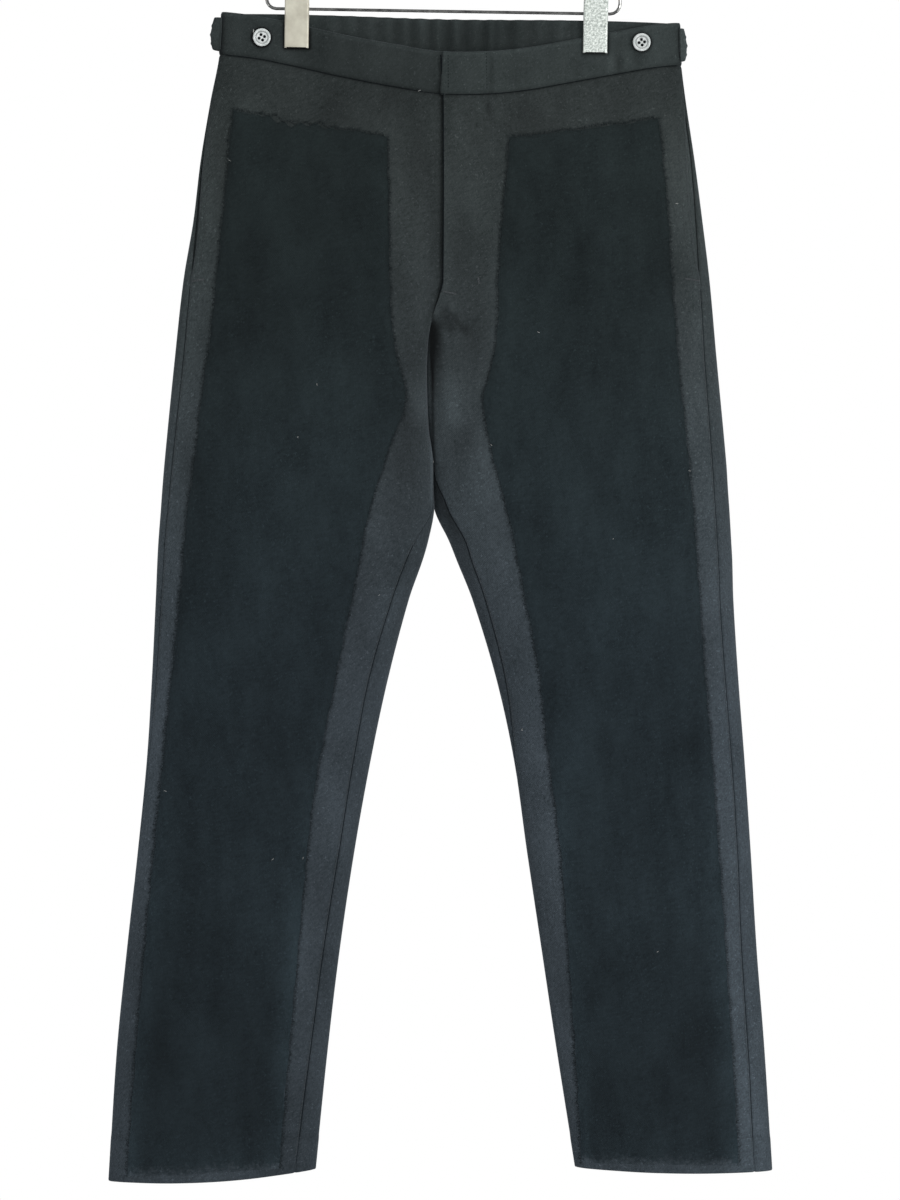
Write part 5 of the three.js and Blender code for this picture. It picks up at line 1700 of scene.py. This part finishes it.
# Runs of topstitching, and of the dark cords laid as painted shade in the seams' grooves: which leg, how
# far in from the seam, between which drops, and whether they lie beside the inner seam; a cord is also sunk
TOPSTITCH_RUNS = (
    ("left", 1.7, 78, 1030, False),
    ("left", 7.0, 96, 238, False),
    ("right", 1.7, 80, 640, False),
    ("right", 6.2, 96, 238, False),
    ("left", 1.7, 470, 700, True),
    ("right", 1.7, 470, 1030, True),
)
SEAM_GROOVES = (
    ("left", 0.3, 245, 1034, False, -0.5),
    ("right", 0.3, 245, 620, False, -0.5),
    ("right", 0.2, 476, 1034, True, -0.45),
    ("left", 0.2, 410, 670, True, -0.45),
)
GROOVE_RADIUS = 0.26

# The dark cords laid as painted shade under the waistband, each from one x to another, and as painted
# shadow down the fly's edge: how far they lie below or out from their seam, how far sunk, and their radius
WAIST_GROOVES = (("right", -198, -3, 90), ("left", 0, 208, 96))
WAIST_GROOVE = {"below": 0.1, "sunk": -0.15, "radius": 0.27}
FLY_EDGE = {"top": 36, "lean_foot": 68, "out": 1.0, "sunk": -0.35, "radius": 0.5}

# Dark stitches down the waistband's fly end: x and drop at both ends, and how they are sewn
DARK_RUNS = (
    ((36.4, 37.0), (34, 70), {"length": 1.3, "gap": 1.5, "lift": 0.4}),
    ((2.2, 2.4), (36, 70), {"length": 1.6, "gap": 1.2, "lift": 0.2}),
)
FLY_STITCHES = {"length": 1.5, "gap": 1.8}
STITCH_RADII = {"topstitching": 0.22, "fly_stitching": 0.15, "dark_stitching": 0.34}

stitches("topstitching", TOPSTITCH, [(side_path(*run), TOPSTITCHES) for run in TOPSTITCH_RUNS])
stitches("fly_stitching", TOPSTITCH, [(front_path("left", *FLY_LINE), FLY_STITCHES)])
dark_paths = [(front_path("left", xs, drops, BAND_PROUD), how) for xs, drops, how in DARK_RUNS]
stitches("dark_stitching", DARK_THREAD_AND_SHADE, dark_paths)


def seam_shade_cords():
    """Dark cords laid as painted shade in the grooves of the front's seams: under the waistband, down the
    fly's edge and along the legs."""
    paths = []
    for name, start, end, count in WAIST_GROOVES:
        xs = np.linspace(start, end, count)
        path = front_path(name, xs, front_seam(xs) + WAIST_GROOVE["below"], WAIST_GROOVE["sunk"])
        paths.append((path, WAIST_GROOVE["radius"]))
    drops = np.linspace(FLY_EDGE["top"], FLY_END + 4, 60)
    leant = TAB_LEAN * np.clip((FLY_EDGE["lean_foot"] - drops) / BAND_HEIGHT, 0, 1)
    edge = front_path("right", centre_x(drops) - FLY_EDGE["out"] - leant, drops, FLY_EDGE["sunk"])
    paths.append((edge, FLY_EDGE["radius"]))
    paths += [(side_path(*groove), GROOVE_RADIUS) for groove in SEAM_GROOVES]
    parts = [tubes(path[None], normals[None], radius, 6, False) for (path, normals), radius in paths]
    finish_piece(join("seam_shade_cords", parts), DARK_THREAD_AND_SHADE, "main_cloth")


seam_shade_cords()

# Bar tacks: their middles, lengths and slants from level, in x and drop
BARTACKS = (
    ("left", 29.5, 238.5, 6, 78),
    ("left", 3.5, 249.5, 12, 12),
    ("left", 221.5, 237, 13, 8),
    ("right", -222, 237.5, 11, -8),
)
BARTACK = {"apart": 0.55, "half": 1.1, "lift": 0.15, "crown": 0.25, "radius": 0.24}


def bartacks():
    """Close zigzags of thread: each tack's strands lie across it, side by side."""
    parts = []
    for name, x, drop, length, slant in BARTACKS:
        way = np.radians(slant)
        along = np.linspace(-0.5, 0.5, int(length / BARTACK["apart"]))[:, None] * length
        across = np.linspace(-BARTACK["half"], BARTACK["half"], 5)[None, :]
        xs = x + along * math.cos(way) - across * math.sin(way)
        drops = drop + along * math.sin(way) + across * math.cos(way)
        lift = BARTACK["lift"] + BARTACK["crown"] * np.cos(across) + 0 * xs
        strands, normals = on_front(LEGS[name], xs, drops, lift)
        parts.append(tubes(strands, normals, BARTACK["radius"]))
    finish_piece(join("bartacks", parts), PALE_THREAD, "main_cloth")


bartacks()

# Threads along the felt's raw edges: how far apart they lie, how long and thick they are, how far
# they lean, and how high they stand
TICKS = {"apart": 2.3, "length": (1.6, 4.2), "radius": 0.17, "lean": 0.35, "stand": 0.2}
FRINGE = {"apart": 0.6, "length": (1.2, 5.0), "radius": 0.07, "lean": 1.2, "stand": 0.6}

# Where every one starts and ends about the edge as shares of its length, the most that it leans and
# how far that carries it sideways, and how far off the cloth it starts
THREAD = {"from": -0.25, "to": 0.85, "most": 1.2, "sideways": 0.6, "lift": 0.25}


def felt_threads(name, kind, how, seed):
    """Threads across a felt's side edges and its top. Each starts just inside the edge and runs out
    over the cloth, with a seeded scatter of its place, its length and its lean."""
    rng = np.random.default_rng(seed)
    leg, top, bottom = LEGS[name], FELTS[name]["top"][0], HEM_NOMINAL - FELT_HEM_INSET
    levels = np.arange(top, bottom, how["apart"])
    shares = np.arange(0.01, 0.99, how["apart"] / 140)
    edges = [(levels, np.full(levels.size, float(end)), (2 * end - 1, 0)) for end in (0, 1)]
    edges.append((np.full(shares.size, float(top)), shares, (0, -1)))
    parts = []
    for level, share, (across, along) in edges:
        count = level.size
        drop = felt_drop(name, level + rng.uniform(-0.4, 0.4, count) * how["apart"] * (along == 0), share)
        x = mix(*felt_edges(name, drop), share)
        length = rng.uniform(*how["length"], count)
        lean = rng.normal(0, how["lean"], count)
        reach = np.linspace(THREAD["from"], THREAD["to"], 4)[None, :] * length[:, None]
        side = reach * np.tan(np.clip(lean, -THREAD["most"], THREAD["most"]))[:, None] * THREAD["sideways"]
        xs = x[:, None] - leg["side"] * across * reach + side * (along != 0)
        drops = drop[:, None] + along * reach + side * (across != 0)
        stand = how["stand"] * rng.uniform(0.2, 1, count)[:, None] * np.sin(np.linspace(0, math.pi, 4))
        strands, normals = on_front(leg, xs, drops, THREAD["lift"] + stand)
        parts.append(tubes(strands, normals, how["radius"], 3))
    finish_piece(join(f"felt_{kind}_{name}", parts), FELT_THREAD, "overlay_cloth")


for seed, side_name in enumerate(("right", "left")):
    felt_threads(side_name, "ticks", TICKS, 20 + seed)
    felt_threads(side_name, "fringe", FRINGE, 40 + seed)

# Bits of lint and loose thread on the cloth, in x and drop, with their length
LINT_BITS = (
    ("right", -23.4, 68.4, 2.2),
    ("right", -193.5, 130.5, 1.8),
    ("left", 207, 169, 2.0),
    ("right", -115, 332, 1.8),
    ("right", -132, 379, 1.6),
    ("left", 83, 285, 2.0),
    ("left", 41.4, 386, 1.8),
    ("left", 218, 409, 1.8),
    ("right", -251, 696, 2.2),
    ("right", -155, 757, 1.8),
    ("right", -128, 756, 1.6),
    ("left", 69.3, 641, 1.8),
    ("right", -173, 13.6, 3.4),
    ("right", -60, 520, 1.3),
    ("left", 150, 470, 1.4),
    ("left", 190, 840, 1.5),
)
CURL = {"height": 0.35, "waves": 4, "lift": 2.2, "radius": 0.05, "thicker": 0.05}


def lint():
    """Short curled fibres: each is a quarter of a wave, turned to its own way."""
    rng = np.random.default_rng(7)
    parts = []
    for name, x, drop, length in LINT_BITS:
        way, s = rng.uniform(0, math.pi), np.linspace(-0.5, 0.5, 7)[None, :] * length
        curl = CURL["height"] * length * np.sin(s / length * CURL["waves"])
        xs = x + s * math.cos(way) - curl * math.sin(way)
        drops = drop + s * math.sin(way) + curl * math.cos(way)
        strands, normals = on_front(LEGS[name], xs, drops, CURL["lift"])
        parts.append(tubes(strands, normals, CURL["radius"] + CURL["thicker"] * length))
    finish_piece(join("lint_bits", parts), LINT, "main_cloth")


lint()


# Clips and hanger


def clip_jaw(name, front):
    """A jaw: the side view carried across a section that turns back at both sides by quarter
    circles. The face's foot is cut a little shorter than its sides'."""
    clip, sign = CLIPS[name], -1 if front else 1
    place = clip["x"] - CLIP["bar_z"] * math.sin(CLIP["tilt"])
    lip = WAIST_DATUM_Z - (clip["lip"] - place * math.sin(CLIP["tilt"])) - CLIP["bar_z"]
    up = np.concatenate([lip + np.array([0, 0.15, 0.4, 0.8, 1.4]), np.linspace(lip + 2.2, CLIP["top"], 90)])
    up = up[:, None]
    stand, deep = read(JAW, "stand", up, key="up"), read(JAW, "side", up, key="up")
    half, bend = CLIP["width"] / 2 - CLIP["plate"] - (0 if front else BACK_JAW_IN), CLIP["bend"]
    quarter = np.linspace(0, math.pi / 2, 7)
    flat = np.linspace(-1, 1, 22)[1:-1] * (half - bend)
    down_side = np.linspace(1, 0, 9)[:-1]
    xs = np.concatenate([np.full(8, -half), -half + bend * (1 - np.sin(quarter[::-1])), flat])
    xs = np.concatenate([xs, half - bend * (1 - np.sin(quarter)), np.full(8, half)])[None, :]
    turned = bend * (1 - np.cos(quarter))
    share = np.concatenate([down_side, np.zeros(7 + flat.size + 7), down_side[::-1]])[None, :]
    curve = np.concatenate([np.full(8, bend), turned[::-1], 0 * flat, turned, np.full(8, bend)])[None, :]
    behind = curve + share * (deep - bend)
    flat_foot = 1 - smooth((np.abs(xs) - half + JAW_FOOT["in"]) / JAW_FOOT["over"])
    foot = JAW_FOOT["height"] * flat_foot * (1 - smooth((up - lip) / JAW_FOOT["up"]))
    y = sign * (stand - behind)
    outer = np.stack([xs + 0 * up, y, CLIP["bar_z"] + up + foot], axis=-1)
    down, over = np.gradient(outer, axis=0), np.gradient(outer, axis=1)
    normal = unit(np.cross(over, down)) * (1 if front else -1)
    inner = outer + normal * CLIP["plate"]
    cos, sin = math.cos(CLIP["tilt"]), math.sin(CLIP["tilt"])
    turn = np.array([[cos, 0, sin], [0, 1, 0], [-sin, 0, cos]])
    moved = [(grid + [place, 0, 0]) @ turn.T for grid in (outer, inner)]
    end = "front" if front else "back"
    made = wall(f"clip_plate_{name}_{end}", *moved, bulge=0.3)
    finish_piece(made, clip["material"], "clip", f"clip_{name}_{end}_jaw")


for side_name in ("right", "left"):
    for is_front in (True, False):
        clip_jaw(side_name, is_front)

for node_name, node_object in nodes.items():
    if node_name == "hanger_wire" or node_name.endswith("spring"):
        node_object.data.materials.clear()
        node_object.data.materials.append(WIRE)


# Floor, light and camera


def lay_floor():
    """A plain pale floor, well below the hems, which the camera sees as bright as the surround."""
    size, level = 14000.0, -2100.0
    points = [(-size, -size, level), (size, -size, level), (size, size, level), (-size, size, level)]
    made = make_object("floor", points, [np.array([[0, 1, 2, 3]])])
    material, tree, principled = new_material("pale_floor", Roughness=0.9)
    principled.inputs["Base Color"].default_value = (0.93, 0.93, 0.93, 1)
    straight = add(tree, "LightPath").outputs["Is Camera Ray"]
    bright = add(tree, "Emission", {"Color": (1, 1, 1, 1), "Strength": 1.0})
    shown = add(tree, "MixShader", {0: straight, 1: principled.outputs[0], 2: bright.outputs[0]})
    tree.links.new(shown.outputs[0], tree.nodes["Material Output"].inputs["Surface"])
    made.data.materials.append(material)


def area_light(name, place, aim, size, power):
    """A rectangular light, at a place in metres, that looks at another."""
    data = bpy.data.lights.new(name, "AREA")
    data.shape = "RECTANGLE"
    data.size, data.size_y = size
    data.energy = power
    made = bpy.data.objects.new(name, data)
    made.location = place
    direction = Vector(aim) - Vector(place)
    made.rotation_euler = direction.to_track_quat("-Z", "Y").to_euler()
    bpy.context.scene.collection.objects.link(made)


lay_floor()
world = bpy.data.worlds.new("soft_surround")
bpy.context.scene.world = world
world.use_nodes = True
world_tree = world.node_tree
world_tree.nodes.clear()
lighting = add(world_tree, "Background", {"Color": (0.96, 0.98, 1.0, 1), "Strength": 0.5})
seen = add(world_tree, "Background", {"Color": (1, 1, 1, 1), "Strength": 1.0})
camera_ray = add(world_tree, "LightPath").outputs["Is Camera Ray"]
blend = add(world_tree, "MixShader", {0: camera_ray, 1: lighting.outputs[0], 2: seen.outputs[0]})
world_out = world_tree.nodes.new("ShaderNodeOutputWorld")
world_tree.links.new(blend.outputs[0], world_out.inputs["Surface"])
area_light("key", (2.6, -2.4, -0.3), (0, 0, -0.75), (1.3, 1.6), 74)
area_light("fill", (-2.4, -2.8, -0.6), (0, 0, -0.8), (1.6, 2.2), 22)
area_light("top", (0.3, -1.1, 2.2), (0, 0, -0.7), (1.8, 1.2), 26)
area_light("behind", (0.6, 3.2, 0.2), (0, 0, -0.7), (2.2, 2.2), 34)

# The camera's place and the height that it takes in there, in metres, and its sensor in millimetres
CAMERA_PLACE = (0.0039, -4.4, -0.6697)
SEEN_HEIGHT = 1.08
SENSOR = 36
camera_data = bpy.data.cameras.new("camera")
camera_data.sensor_width = SENSOR
camera_data.lens = SENSOR * -CAMERA_PLACE[1] / SEEN_HEIGHT
camera = bpy.data.objects.new("camera", camera_data)
camera.location = CAMERA_PLACE
camera.rotation_euler = (math.pi / 2, 0, 0)
bpy.context.scene.collection.objects.link(camera)
bpy.context.scene.camera = camera
bpy.context.scene.view_settings.view_transform = "Standard"
